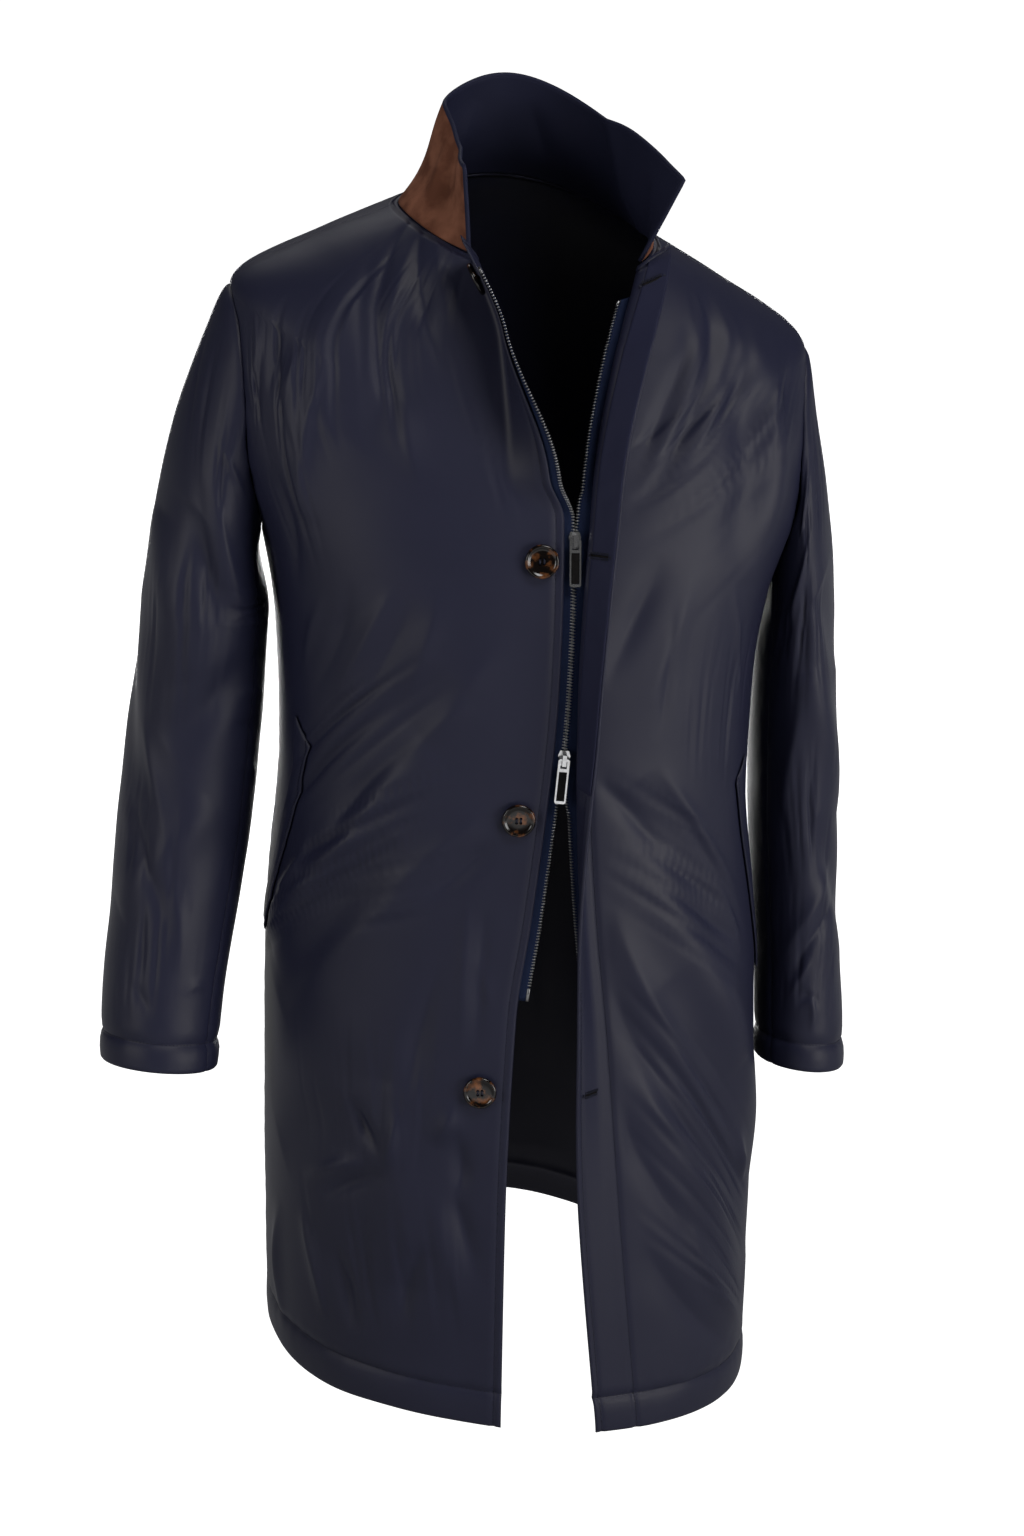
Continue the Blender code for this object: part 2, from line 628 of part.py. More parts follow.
def sleeve(side, word):
    """Upper and under sleeve, parted at the forearm seam and the elbow seam."""
    def point(turn, run):
        return sleeve_point(side, turn, run)

    around = 2 * ROWS_AT_ARM
    step = 2 * np.pi / around
    arm = np.linspace(1, 2, SLEEVE_ARM_ROWS + 1)[1:]
    runs = np.concatenate([np.linspace(0, 1, SLEEVE_CAP_ROWS + 1), arm])
    part = SEAM_GAP / 2 / SLEEVE_RADIUS
    stretches = (("upper", ELBOW_SEAM - around, FOREARM_SEAM), ("under", FOREARM_SEAM, ELBOW_SEAM))
    for half, first, last in stretches:
        turns = step * np.arange(first, last + 1)
        turns[0] += part
        turns[-1] -= part
        turn, run = np.meshgrid(turns, runs)
        outer = point(turn, run)
        normals = side * normals_of(point, turn, np.clip(run, NUDGE, 2 - NUDGE))
        wall(f"sleeve_{word}_{half}", outer, outer - WALL * normals, NAVY)


sleeve(RIGHT, "right")
sleeve(LEFT, "left")


def collar():
    """Two layers on the neckline, with the panels' own points along the seam."""
    whole = 2 * np.pi
    left_neck, right_neck = FRONTS[LEFT][0][-1], FRONTS[RIGHT][0][-1]
    angles = np.concatenate([left_neck[:0:-1] - whole, back_neck - whole, right_neck[1:]])
    angle, rise = np.meshgrid(angles, np.linspace(0, 1, COLLAR_ROWS + 1))
    face = collar_point(angle, rise)
    normals = normals_of(collar_point, angle, rise)
    between = COLLAR_WALL + SEAM_GAP
    wall("under_collar", face, face - COLLAR_WALL * normals, SUEDE)
    wall("top_collar", face - between * normals, face - (between + COLLAR_WALL) * normals, NAVY)


collar()


# Pockets

def pocket_welt(side, name):
    """A slanted strip over the front's own facets, with a row where it crosses each of the front's rows."""
    (top_angle, top), (low_angle, low) = WELT_TOP, WELT_BOTTOM
    rows = np.concatenate([[low], LEVELS[(LEVELS > low) & (LEVELS < top)], [top]])
    near, far = [], []
    for level in rows:
        up = (level - low) / (top - low)
        start = low_angle + (top_angle - low_angle) * up
        for across in np.linspace(0, 1, WELT_COLUMNS):
            angle = side * (start + across * WELT_WIDTH / BODY_RADIUS)
            raised = level + across * WELT_SKEW * (up == 1)
            near.append(on_front(side, angle, raised, WELT_GAP))
            far.append(on_front(side, angle, raised, WELT_GAP + WELT_WALL))
    grid = (len(rows), WELT_COLUMNS, 3)
    wall(name, np.reshape(far, grid), np.reshape(near, grid), NAVY)


pocket_welt(RIGHT, "pocket_welt_right")
pocket_welt(LEFT, "pocket_welt_left")


# Zip

def chain_side(level, past_teeth):
    """Outer point and normal in line with the right front's strip, this far past the right tape's teeth."""
    past = np.full_like(level, RIGHT_STRIP + TAPE_OUT + past_teeth)
    point, _, facing = front_edge(RIGHT, level, past)
    return point, facing


def zip_tape(side, name):
    """A tape under the front's edge, a seam's gap below the cloth, that stands out past it."""
    rows = LEVELS[(LEVELS >= ZIP_BOTTOM) & (LEVELS <= ZIP_TOP)]
    if side == RIGHT:
        past, levels = np.meshgrid((edge_steps(RIGHT)[-2], RIGHT_STRIP, RIGHT_STRIP + TAPE_OUT), rows)
        point, _, facing = front_edge(RIGHT, levels, past)
    else:
        roll, towards, facing = front_edge(LEFT, rows, 0 * rows)
        closed, closed_facing = chain_side(rows, CHAIN_GAP)
        apart = np.maximum(LOWER_SLIDER_LEVEL - rows, rows - UPPER_SLIDER_LEVEL)
        share = np.clip(apart / ZIP_PARTING, 0, 1)[:, None]
        reach = closed + (roll + towards * OPEN_TAPE_REACH - closed) * share
        reach_facing = unit(closed_facing + (facing - closed_facing) * share)
        point = np.stack([roll - towards * TAPE_UNDER, roll, reach], 1)
        facing = np.stack([facing, facing, reach_facing], 1)
    near = point - facing * (WALL + TAPE_GAP)
    wall(name, near, near - TAPE_WALL * facing, BLUE_TAPE)


zip_tape(RIGHT, "zip_tape_right")
zip_tape(LEFT, "zip_tape_left")


def slider_mesh():
    """A plate that narrows to its mouth, with a crown over the pull's bar. Its origin is the pull's axis."""
    plate_y = AXIS_OVER_PLATE + SLIDER_PLATE / 2
    half, top, end = SLIDER_LENGTH / 2, SLIDER_TOP_WIDTH / 2, SLIDER_END_WIDTH / 2
    nose, bend = top * SLIDER_NOSE, half * SLIDER_TAPER
    outline = ((-end, -half), (end, -half), (end, -bend), (top, bend), (nose, half), (-nose, half))
    outline += ((-top, bend), (-end, -bend))
    plate = prism(outline, SLIDER_PLATE)
    plate.transform(Matrix.Translation((0, plate_y, 0)))
    deep = AXIS_OVER_PLATE + SLIDER_PLATE / 2 + CROWN_HEIGHT + CROWN_BAR
    tall = 2 * (CROWN_ROOM + CROWN_BAR)
    middle = AXIS_OVER_PLATE + SLIDER_PLATE / 2 - deep / 2
    crown = box((CROWN_WIDTH, deep, tall), (0, middle, 0))
    room = AXIS_OVER_PLATE + CROWN_HEIGHT
    tunnel = box((2 * CROWN_WIDTH, room, 2 * CROWN_ROOM), (0, AXIS_OVER_PLATE - room / 2, 0))
    return combined(plate, combined(crown, tunnel, "DIFFERENCE"), "UNION")


def pull_mesh():
    """A flat tab with an eye for the crown and a window for its inlay."""
    wide, cut = PULL_WIDTH / 2, PULL_CORNER
    top, low = PULL_BAR / 2, -PULL_LENGTH
    outline = ((-wide + cut, low), (wide - cut, low), (wide, low + cut), (wide, top - cut), (wide - cut, top))
    outline += ((-wide + cut, top), (-wide, top - cut), (-wide, low + cut))
    eye_tall = PULL_EYE_END - PULL_BAR / 2
    eye = box((PULL_EYE_WIDTH, 2 * PULL_WALL, eye_tall), (0, 0, -PULL_BAR / 2 - eye_tall / 2))
    window_tall = INLAY_END - INLAY_START + 2 * SEAM_GAP
    window_size = (INLAY_WIDTH + 2 * SEAM_GAP, 2 * PULL_WALL, window_tall)
    window = box(window_size, (0, 0, -(INLAY_START + INLAY_END) / 2))
    tab = combined(prism(outline, PULL_WALL), eye, "DIFFERENCE")
    return combined(tab, window, "DIFFERENCE")


def inlay_mesh():
    tall = INLAY_END - INLAY_START
    return box((INLAY_WIDTH, INLAY_WALL, tall), (0, 0, -(INLAY_START + INLAY_END) / 2))


def zip_slider(word, level):
    """Slider, pull tab and inlay share an empty on the pull's axis, in line with the teeth."""
    ends, facing = chain_side(level + np.array([-CHAIN_LOOK, 0, CHAIN_LOOK]), CHAIN_GAP / 2)
    up = Vector(ends[2] - ends[0]).normalized()
    out = Vector(facing[1])
    out = (out - up * out.dot(up)).normalized()
    across = up.cross(out)
    over_cloth = AXIS_OVER_PLATE + SLIDER_PLATE + SLIDER_LIFT - WALL - TAPE_GAP
    axis = bpy.data.objects.new(f"pull_axis_{word}", None)
    bpy.context.scene.collection.objects.link(axis)
    turned = Matrix((across, -out, up)).transposed().to_4x4()
    axis.matrix_world = Matrix.Translation(Vector(ends[1]) + out * over_cloth) @ turned
    for name, mesh, finish in (
        (f"zip_slider_{word}", SLIDER_SHAPE, SILVER),
        (f"zip_pull_{word}", PULL_SHAPE, SILVER),
        (f"zip_pull_{word}_inlay", INLAY_SHAPE, DARK_INLAY),
    ):
        place(name, mesh, finish).parent = axis


SLIDER_SHAPE, PULL_SHAPE, INLAY_SHAPE = slider_mesh(), pull_mesh(), inlay_mesh()
zip_slider("upper", UPPER_SLIDER_LEVEL)
zip_slider("lower", LOWER_SLIDER_LEVEL)


# Buttons

def button_mesh():
    """A turned disc with a raised rim, a dished middle and four holes. Its back is at the origin."""
    turned = bmesh.new()
    turns = 2 * np.pi * np.arange(BUTTON_SIDES) / BUTTON_SIDES
    loops = []
    for ring in BUTTON_PROFILE:
        radius, height = ring.radius * BUTTON_RADIUS, ring.height * BUTTON_THICKNESS
        loops.append([turned.verts.new((radius * np.cos(t), radius * np.sin(t), height)) for t in turns])
    for low, high in zip(loops, loops[1:]):
        for i in range(BUTTON_SIDES):
            j = (i + 1) % BUTTON_SIDES
            turned.faces.new((low[i], low[j], high[j], high[i]))
    turned.faces.new(loops[0][::-1])
    turned.faces.new(loops[-1])
    mesh = bpy.data.meshes.new("button")
    turned.to_mesh(mesh)
    turned.free()
    drill = bmesh.new()
    for x in (-HOLE_SPACING / 2, HOLE_SPACING / 2):
        for y in (-HOLE_SPACING / 2, HOLE_SPACING / 2):
            bmesh.ops.create_cone(
                drill,
                cap_ends=True,
                segments=HOLE_SIDES,
                radius1=HOLE_RADIUS,
                radius2=HOLE_RADIUS,
                depth=4 * BUTTON_THICKNESS,
                matrix=Matrix.Translation((x, y, 0)),
            )
    holes = bpy.data.meshes.new("holes")
    drill.to_mesh(holes)
    drill.free()
    return combined(mesh, holes, "DIFFERENCE")


def button(number, point, normal):
    made = place(f"button_{number}", BUTTON_SHAPE, TORTOISE)
    out = Vector(normal)
    up = (Vector((0, 0, 1)) - out * out.z).normalized()
    turned = Matrix((up.cross(out), up, out)).transposed().to_4x4()
    made.matrix_world = Matrix.Translation(Vector(point) + out * BUTTON_SHANK) @ turned


def right_strip(past, level):
    return front_edge(RIGHT, level, past)[0]


BUTTON_SHAPE = button_mesh()
for number, spot in enumerate(BUTTON_PLACES, start=1):
    spot_past, spot_level = np.array(RIGHT_STRIP - spot.from_edge), np.array(spot.level)
    button(number, right_strip(spot_past, spot_level), normals_of(right_strip, spot_past, spot_level))
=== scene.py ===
# %% [markdown]
# # Dressing an overcoat
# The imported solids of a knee-length overcoat come in as a fixed frame. They have the coat's cut and its
# worn form. This lesson puts cloth, sewing, a zip and buttons over them, one piece at a time. Everything
# is in metres, +Z is up, the front faces -Y and the wearer's left is +X.

import json
import math
from collections import namedtuple

import bmesh
import bpy
import numpy as np
from mathutils import Matrix, Vector, noise

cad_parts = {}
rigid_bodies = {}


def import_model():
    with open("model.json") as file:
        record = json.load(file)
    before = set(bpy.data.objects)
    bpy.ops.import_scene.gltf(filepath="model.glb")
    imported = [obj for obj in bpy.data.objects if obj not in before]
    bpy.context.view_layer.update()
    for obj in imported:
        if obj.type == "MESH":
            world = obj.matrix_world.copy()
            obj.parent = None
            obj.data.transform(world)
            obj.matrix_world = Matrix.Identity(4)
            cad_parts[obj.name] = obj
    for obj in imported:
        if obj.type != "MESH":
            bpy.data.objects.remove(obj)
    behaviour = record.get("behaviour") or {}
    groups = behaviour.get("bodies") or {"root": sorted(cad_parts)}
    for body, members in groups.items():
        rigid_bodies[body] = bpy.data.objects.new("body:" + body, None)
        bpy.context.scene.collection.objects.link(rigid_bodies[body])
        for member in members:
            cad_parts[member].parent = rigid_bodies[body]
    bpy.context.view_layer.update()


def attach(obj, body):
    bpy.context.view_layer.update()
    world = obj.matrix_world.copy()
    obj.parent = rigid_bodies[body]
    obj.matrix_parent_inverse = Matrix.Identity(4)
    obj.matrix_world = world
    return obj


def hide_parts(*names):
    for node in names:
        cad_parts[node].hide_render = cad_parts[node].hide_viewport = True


for old in list(bpy.data.objects):
    bpy.data.objects.remove(old, do_unlink=True)
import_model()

# %% [markdown]
# The camera stands in front of the coat, a little to the wearer's right, and looks down on it. Its place
# and lens were worked out from sizes that are known on such a coat. A camera can be pointed with a Track
# To constraint, but a matrix made from three directions also takes the small roll of the picture.

# %% Camera
VIEW_AROUND = math.radians(-6.0)
VIEW_DISTANCE = 2.9
VIEW_HEIGHT = 0.5
VIEW_DOWN = math.radians(18.6)
VIEW_ROLL = math.radians(0.8)
VIEW_LENS = 86.16
VIEW_END = 200  # far enough to take in the backdrop

eye = Vector((math.sin(VIEW_AROUND) * VIEW_DISTANCE, -math.cos(VIEW_AROUND) * VIEW_DISTANCE, VIEW_HEIGHT))
level_right = Vector((math.cos(VIEW_AROUND), math.sin(VIEW_AROUND), 0))
ahead = Vector((-math.sin(VIEW_AROUND), math.cos(VIEW_AROUND), 0)) * math.cos(VIEW_DOWN)
ahead.z = -math.sin(VIEW_DOWN)
level_up = level_right.cross(ahead)
right = level_right * math.cos(VIEW_ROLL) + level_up * math.sin(VIEW_ROLL)
up = level_up * math.cos(VIEW_ROLL) - level_right * math.sin(VIEW_ROLL)
camera_data = bpy.data.cameras.new("camera")
camera_data.lens = VIEW_LENS
camera_data.clip_end = VIEW_END
camera = bpy.data.objects.new("camera", camera_data)
camera.matrix_world = Matrix.Translation(eye) @ Matrix((right, up, -ahead)).transposed().to_4x4()
bpy.context.scene.collection.objects.link(camera)
bpy.context.scene.camera = camera
print("camera at", tuple(round(v, 2) for v in eye))

# %% [markdown]
# Dark cloth shows its folds by what it mirrors, more than by light and shade. So the floor has two
# layers: a plain white one for the camera, and one that only lights and mirrors, brightest some way in
# front of the coat and behind it. Soft boxes beside, in front and behind add a little shape, and a white
# dome takes the horizon away. One strong light would be simpler, but it leaves dark cloth black with a
# few hard glints.

# %% Floor and light
FLOOR_HEIGHT = -1.5
FLOOR_SIZE = 120
DOME_SIDES = 24
PALE, GREY = (0.8, 0.8, 0.8, 1), (0.4, 0.4, 0.4, 1)
FLOOR_ROUGHNESS = 0.9
ROOM_LIGHT = 0.05
Glow = namedtuple("Glow", "y glow")
GLOWS = (
    Glow(-9.0, 0.03),
    Glow(-6.0, 0.05),
    Glow(-4.6, 0.50),
    Glow(-3.4, 1.35),
    Glow(-2.3, 0.95),
    Glow(-1.4, 0.34),
    Glow(-0.5, 0.32),
    Glow(0.5, 0.30),
    Glow(1.6, 0.40),
    Glow(3.2, 0.80),
    Glow(4.6, 0.50),
    Glow(7.0, 0.10),
)
LIGHT_SPREAD = math.radians(75)
SoftBox = namedtuple("SoftBox", "name place aim width height power")
SOFT_BOXES = (
    SoftBox("soft_box_right", (-2.3, -1.6, 0.3), (-0.1, 0.0, -0.4), 0.8, 1.6, 5),
    SoftBox("soft_box_left", (2.4, -2.0, -0.4), (0.1, -0.1, -0.45), 1.8, 1.4, 11),
    SoftBox("soft_box_back", (0.0, 2.4, 2.2), (0.0, 0.0, -0.3), 3.0, 1.6, 6),
    SoftBox("soft_box_behind", (0.2, 2.6, -0.8), (0.0, 0.1, -0.5), 1.8, 1.0, 14),
    SoftBox("soft_box_front", (1.3, -1.9, 2.6), (0.0, 0.0, -0.5), 1.6, 1.4, 14),
)


def shader_of(finish):
    finish.use_nodes = True
    return finish.node_tree.nodes["Principled BSDF"]


def glowing():
    """A floor finish that is brightest some way in front of the coat and behind it."""
    finish = bpy.data.materials.new("floor_glow")
    shader = shader_of(finish)
    nodes, links = finish.node_tree.nodes, finish.node_tree.links
    split = nodes.new("ShaderNodeSeparateXYZ")
    links.new(nodes.new("ShaderNodeTexCoord").outputs["Object"], split.inputs["Vector"])
    depth = nodes.new("ShaderNodeMapRange")
    depth.inputs["From Min"].default_value = GLOWS[0].y
    depth.inputs["From Max"].default_value = GLOWS[-1].y
    links.new(split.outputs["Y"], depth.inputs["Value"])
    ramp = nodes.new("ShaderNodeValToRGB")
    ramp.color_ramp.interpolation = "EASE"
    for row in GLOWS[1:-1]:
        ramp.color_ramp.elements.new((row.y - GLOWS[0].y) / (GLOWS[-1].y - GLOWS[0].y))
    for element, row in zip(ramp.color_ramp.elements, GLOWS):
        element.color = (row.glow, row.glow, row.glow, 1)
    links.new(depth.outputs["Result"], ramp.inputs["Fac"])
    links.new(ramp.outputs["Color"], shader.inputs["Emission Color"])
    shader.inputs["Emission Strength"].default_value = 1
    shader.inputs["Base Color"].default_value = GREY
    shader.inputs["Roughness"].default_value = FLOOR_ROUGHNESS
    return finish


def white():
    """A finish that is only seen and lights nothing."""
    finish = bpy.data.materials.new("pale_floor")
    finish.cycles.emission_sampling = "NONE"
    shader = shader_of(finish)
    shader.inputs["Base Color"].default_value = PALE
    shader.inputs["Emission Color"].default_value = (1, 1, 1, 1)
    shader.inputs["Emission Strength"].default_value = 1
    return finish


def stage_piece(name, shape, finish, seen):
    """A piece of the studio that either shows in the picture or only lights and mirrors."""
    mesh = bpy.data.meshes.new(name)
    shape.to_mesh(mesh)
    shape.free()
    mesh.materials.append(finish)
    made = bpy.data.objects.new(name, mesh)
    made.location.z = FLOOR_HEIGHT
    made.visible_camera = seen
    made.visible_diffuse = made.visible_glossy = not seen
    bpy.context.scene.collection.objects.link(made)


def pale_floor(name, finish, seen):
    shape = bmesh.new()
    bmesh.ops.create_grid(shape, x_segments=1, y_segments=1, size=FLOOR_SIZE / 2)
    stage_piece(name, shape, finish, seen)


def backdrop(finish):
    """A dome all round the studio, so that the pale floor has no horizon."""
    shape = bmesh.new()
    bmesh.ops.create_uvsphere(shape, u_segments=DOME_SIDES, v_segments=DOME_SIDES, radius=FLOOR_SIZE / 2)
    stage_piece("backdrop", shape, finish, True)


def soft_box(spec):
    data = bpy.data.lights.new(spec.name, "AREA")
    data.shape = "RECTANGLE"
    data.size, data.size_y, data.energy = spec.width, spec.height, spec.power
    data.spread = LIGHT_SPREAD
    made = bpy.data.objects.new(spec.name, data)
    made.location = spec.place
    made.rotation_euler = (Vector(spec.aim) - Vector(spec.place)).to_track_quat("-Z", "Y").to_euler()
    bpy.context.scene.collection.objects.link(made)


pale = white()
pale_floor("floor", pale, True)
pale_floor("floor_glow", glowing(), False)
backdrop(pale)
for spec in SOFT_BOXES:
    soft_box(spec)
world = bpy.data.worlds.new("studio")
world.use_nodes = True
world.node_tree.nodes["Background"].inputs["Color"].default_value = (1, 1, 1, 1)
world.node_tree.nodes["Background"].inputs["Strength"].default_value = ROOM_LIGHT
bpy.context.scene.world = world
bpy.context.scene.view_settings.view_transform = "Standard"
print("lights:", [spec.name for spec in SOFT_BOXES])

# %% [markdown]
# The coat's body is a stack of rounded rings from hem to neck, joined by curves that pass through each
# row of a table and never swing past it. The same tables made the solids, so cloth that is laid out with
# them lies on the solids without any fitting.

# %% Curves through a table
RIGHT, LEFT = -1, 1
WHOLE_TURN = 2 * np.pi
NUDGE = 1e-4  # the step over which slopes are read


def smooth(knots, values, at):
    """A curve through the rows of a table that never swings past them."""
    knots, values = np.asarray(knots, float), np.asarray(values, float)
    at = np.clip(np.asarray(at, float), knots[0], knots[-1])
    steps = np.diff(knots)
    rises = np.diff(values) / steps
    slopes = np.zeros(len(knots))
    slopes[0], slopes[-1] = rises[0], rises[-1]
    for i in range(1, len(rises)):
        if rises[i - 1] * rises[i] > 0:
            slopes[i] = 2 * rises[i - 1] * rises[i] / (rises[i - 1] + rises[i])
    i = np.clip(np.searchsorted(knots, at, side="right") - 1, 0, len(steps) - 1)
    u = (at - knots[i]) / steps[i]
    start = (1 + 2 * u) * (1 - u) ** 2 * values[i] + u * (1 - u) ** 2 * steps[i] * slopes[i]
    end = u**2 * (3 - 2 * u) * values[i + 1] - u**2 * (1 - u) * steps[i] * slopes[i + 1]
    return start + end


def column(rows, name, at):
    return smooth([row[0] for row in rows], [getattr(row, name) for row in rows], at)


def unit(vectors):
    return vectors / np.linalg.norm(vectors, axis=-1, keepdims=True)


def slopes_of(surface, u, v):
    along_u = surface(u + NUDGE, v) - surface(u - NUDGE, v)
    along_v = surface(u, v + NUDGE) - surface(u, v - NUDGE)
    return along_u, along_v


def normals_of(surface, u, v):
    along_u, along_v = slopes_of(surface, u, v)
    return unit(np.cross(along_u, along_v))


print("a curve through 0, 1, 1 at one half:", round(float(smooth((0, 1, 2), (0, 1, 1), 0.5)), 3))

# %% [markdown]
# A large fold is a line on the cloth, with a height that fades out to both sides and towards its ends.
# Such folds could be sculpted by hand, but a table of lines can be moved and checked against the real
# coat.

# %% Large folds
FOLD_END_POWER = 0.7  # below 1 a fold keeps its height for longer before it fades at its ends
Fold = namedtuple("Fold", "angle level to_angle to_level width height")
BODY_RADIUS = 0.19
BODY_RUN = 1.04
BODY_FOLDS = (
    Fold(-80, 0.37, -22, 0.58, 0.026, 0.007),
    Fold(-72, 0.33, -30, 0.50, 0.022, -0.006),
    Fold(-62, 0.45, -16, 0.64, 0.022, -0.005),
    Fold(-33, 0.98, -30, 0.82, 0.016, -0.005),
    Fold(-48, 0.93, -50, 0.74, 0.018, 0.005),
    Fold(-42, 0.27, -70, 0.20, 0.024, -0.005),
    Fold(-30, 0.30, -24, 0.12, 0.024, 0.005),
    Fold(45, 0.94, 42, 0.74, 0.018, -0.005),
    Fold(56, 0.92, 52, 0.72, 0.018, 0.005),
    Fold(20, 0.56, 55, 0.40, 0.024, -0.006),
    Fold(26, 0.50, 60, 0.32, 0.024, 0.006),
    Fold(28, 0.40, 76, 0.10, 0.028, -0.007),
    Fold(40, 0.44, 84, 0.20, 0.026, 0.006),
    Fold(150, 0.62, 128, 0.30, 0.030, -0.006),
    Fold(210, 0.60, 232, 0.26, 0.030, -0.006),
    Fold(185, 0.50, 172, 0.06, 0.034, 0.007),
)


def fold_height(folds, angle, level, radius, run):
    total = np.zeros(np.broadcast(angle, level).shape)
    for fold in folds:
        start = np.array([math.radians(fold.angle) * radius, fold.level * run])
        end = np.array([math.radians(fold.to_angle) * radius, fold.to_level * run])
        line = end - start
        across, along = angle * radius - start[0], level * run - start[1]
        share = np.clip((across * line[0] + along * line[1]) / (line @ line), 0, 1)
        gap = np.hypot(across - share * line[0], along - share * line[1])
        strength = np.sin(np.pi * share) ** FOLD_END_POWER
        total = total + fold.height * np.exp(-((gap / fold.width) ** 2)) * strength
    return total


print("large folds on the body:", len(BODY_FOLDS))

# %% [markdown]
# The body form itself. Each ring is a rounded oval with its own half width, reach to the front and to the
# back, and height at the side, front and back. The wearer's left side hangs lower, so the whole form
# tilts.

# %% Body form
SHOULDER_TILT = 0.11  # the wearer's left side hangs this much lower for each metre of width
SHOULDER_SOFTNESS = 0.06  # in front and behind, the shoulder rounds off over this much of the level
SWING_FULL_SINE = 0.3  # a swing grows from the middle of the front to this sine of the angle
Ring = namedtuple("Ring", "level side_height front_height back_height half_width front back roundness")
RINGS = (
    Ring(0.00, -0.990, -0.990, -0.935, 0.207, 0.190, 0.168, 2.25),
    Ring(0.20, -0.798, -0.800, -0.775, 0.208, 0.183, 0.158, 2.35),
    Ring(0.37, -0.630, -0.630, -0.620, 0.206, 0.176, 0.150, 2.4),
    Ring(0.53, -0.460, -0.460, -0.455, 0.193, 0.168, 0.138, 2.4),
    Ring(0.63, -0.360, -0.360, -0.355, 0.196, 0.167, 0.146, 2.4),
    Ring(0.70, -0.290, -0.290, -0.280, 0.206, 0.163, 0.150, 2.4),
    Ring(0.79, -0.190, -0.220, -0.185, 0.238, 0.152, 0.146, 2.3),
    Ring(0.88, -0.092, -0.155, -0.095, 0.230, 0.134, 0.128, 2.2),
    Ring(0.94, -0.046, -0.093, -0.035, 0.163, 0.116, 0.103, 2.1),
    Ring(1.00, -0.014, -0.040, 0.008, 0.097, 0.095, 0.076, 2.0),
)
Swing = namedtuple("Swing", "level shift")
SWINGS = (Swing(0.0, 0.0), Swing(0.70, 0.0), Swing(0.88, 0.012), Swing(1.0, 0.034))


def tilted(x, y, z):
    return np.stack([x, y, z - SHOULDER_TILT * x], -1)


def body_form(angle, level):
    """The body without folds. The angle goes round the wearer from the front, positive to +X."""
    angle, level = np.broadcast_arrays(np.asarray(angle, float), np.asarray(level, float))
    size = {name: column(RINGS, name, level) for name in Ring._fields[1:]}
    sine, cosine = np.sin(angle), np.cos(angle)
    power = 2 / size["roundness"]
    in_front = cosine > 0
    reach = np.where(in_front, size["front"], size["back"])
    rise = np.where(in_front, size["front_height"], size["back_height"]) - size["side_height"]
    spread = np.minimum(SHOULDER_SOFTNESS, (1 - level) / 2)
    rounded = sum(column(RINGS, "half_width", level + way * spread) for way in (-1, 1)) / 2
    half_width = size["half_width"] + (rounded - size["half_width"]) * cosine**2
    swing = np.clip(cosine, 0, 1) * np.clip(sine / SWING_FULL_SINE, 0, 1)
    x = half_width * np.sign(sine) * np.abs(sine) ** power + column(SWINGS, "shift", level) * swing
    y = -reach * np.sign(cosine) * np.abs(cosine) ** power
    return tilted(x, y, size["side_height"] + rise * cosine**2)


def body_point(angle, level):
    around = np.mod(angle + np.pi / 2, WHOLE_TURN) - np.pi / 2
    near_left = fold_height(BODY_FOLDS, around, level, BODY_RADIUS, BODY_RUN)
    near_right = fold_height(BODY_FOLDS, around - WHOLE_TURN, level, BODY_RADIUS, BODY_RUN)
    lift = near_left + np.where(around > np.pi, near_right, 0)
    inside = np.clip(level, 2 * NUDGE, 1 - 2 * NUDGE)
    return body_form(angle, level) + normals_of(body_form, angle, inside) * lift[..., None]


CHEST_LEVEL = 0.79
print("width at the chest:", round(float(body_form(math.pi / 2, CHEST_LEVEL)[0] * 2), 3))

# %% [markdown]
# The cut lines on that form: side seams, an oval armhole on each side, and shoulder seams on top. Where a
# front or the back ends at each level follows from them.

# %% Seam lines
SIDE_SEAM_ANGLE = math.radians(94)
SHOULDER_SEAM_ANGLE = math.radians(90)
UNDERARM_LEVEL = 0.70
SHOULDER_LEVEL = 0.88
ARMHOLE_FRONT = math.radians(25)
ARMHOLE_BACK = math.radians(26)
SEAM_GAP = 0.0003  # the collar stands this far off its seam, and layers of cloth lie this far apart
SEAM_LAP = 0.0006  # fronts, back and sleeve halves go on this far past the seams between them
SEAM_TURN = SEAM_LAP / BODY_RADIUS
HALVINGS = 40


def armhole_angle(turn, centre):
    """Angle on the body of the armhole's edge. The turn is 0 at the shoulder and grows to the front."""
    wide = np.where(np.sin(turn) > 0, -ARMHOLE_FRONT, ARMHOLE_BACK)
    return centre + wide * np.abs(np.sin(turn))


def armhole_level(turn):
    middle = (UNDERARM_LEVEL + SHOULDER_LEVEL) / 2
    return middle + (SHOULDER_LEVEL - UNDERARM_LEVEL) / 2 * np.cos(turn)


def seam_angle(level):
    share = np.clip((level - UNDERARM_LEVEL) / (SHOULDER_LEVEL - UNDERARM_LEVEL), 0, 1)
    return SIDE_SEAM_ANGLE + (SHOULDER_SEAM_ANGLE - SIDE_SEAM_ANGLE) * share


def panel_side(level, to_front):
    """Where a panel ends: at the side seam, then round the armhole, then along the shoulder seam."""
    share = (level - UNDERARM_LEVEL) / (SHOULDER_LEVEL - UNDERARM_LEVEL)
    turn = np.arccos(np.clip(2 * share - 1, -1, 1))
    return armhole_angle(turn if to_front else -turn, seam_angle(level))


def angle_at(x, level):
    """The angle at which the front of the body is this far from its middle."""
    low = np.full(np.shape(level), -SHOULDER_SEAM_ANGLE)
    high = -low
    for _ in range(HALVINGS):
        middle = (low + high) / 2
        beyond = body_form(middle, level)[..., 0] > x
        high = np.where(beyond, middle, high)
        low = np.where(beyond, low, middle)
    return (low + high) / 2


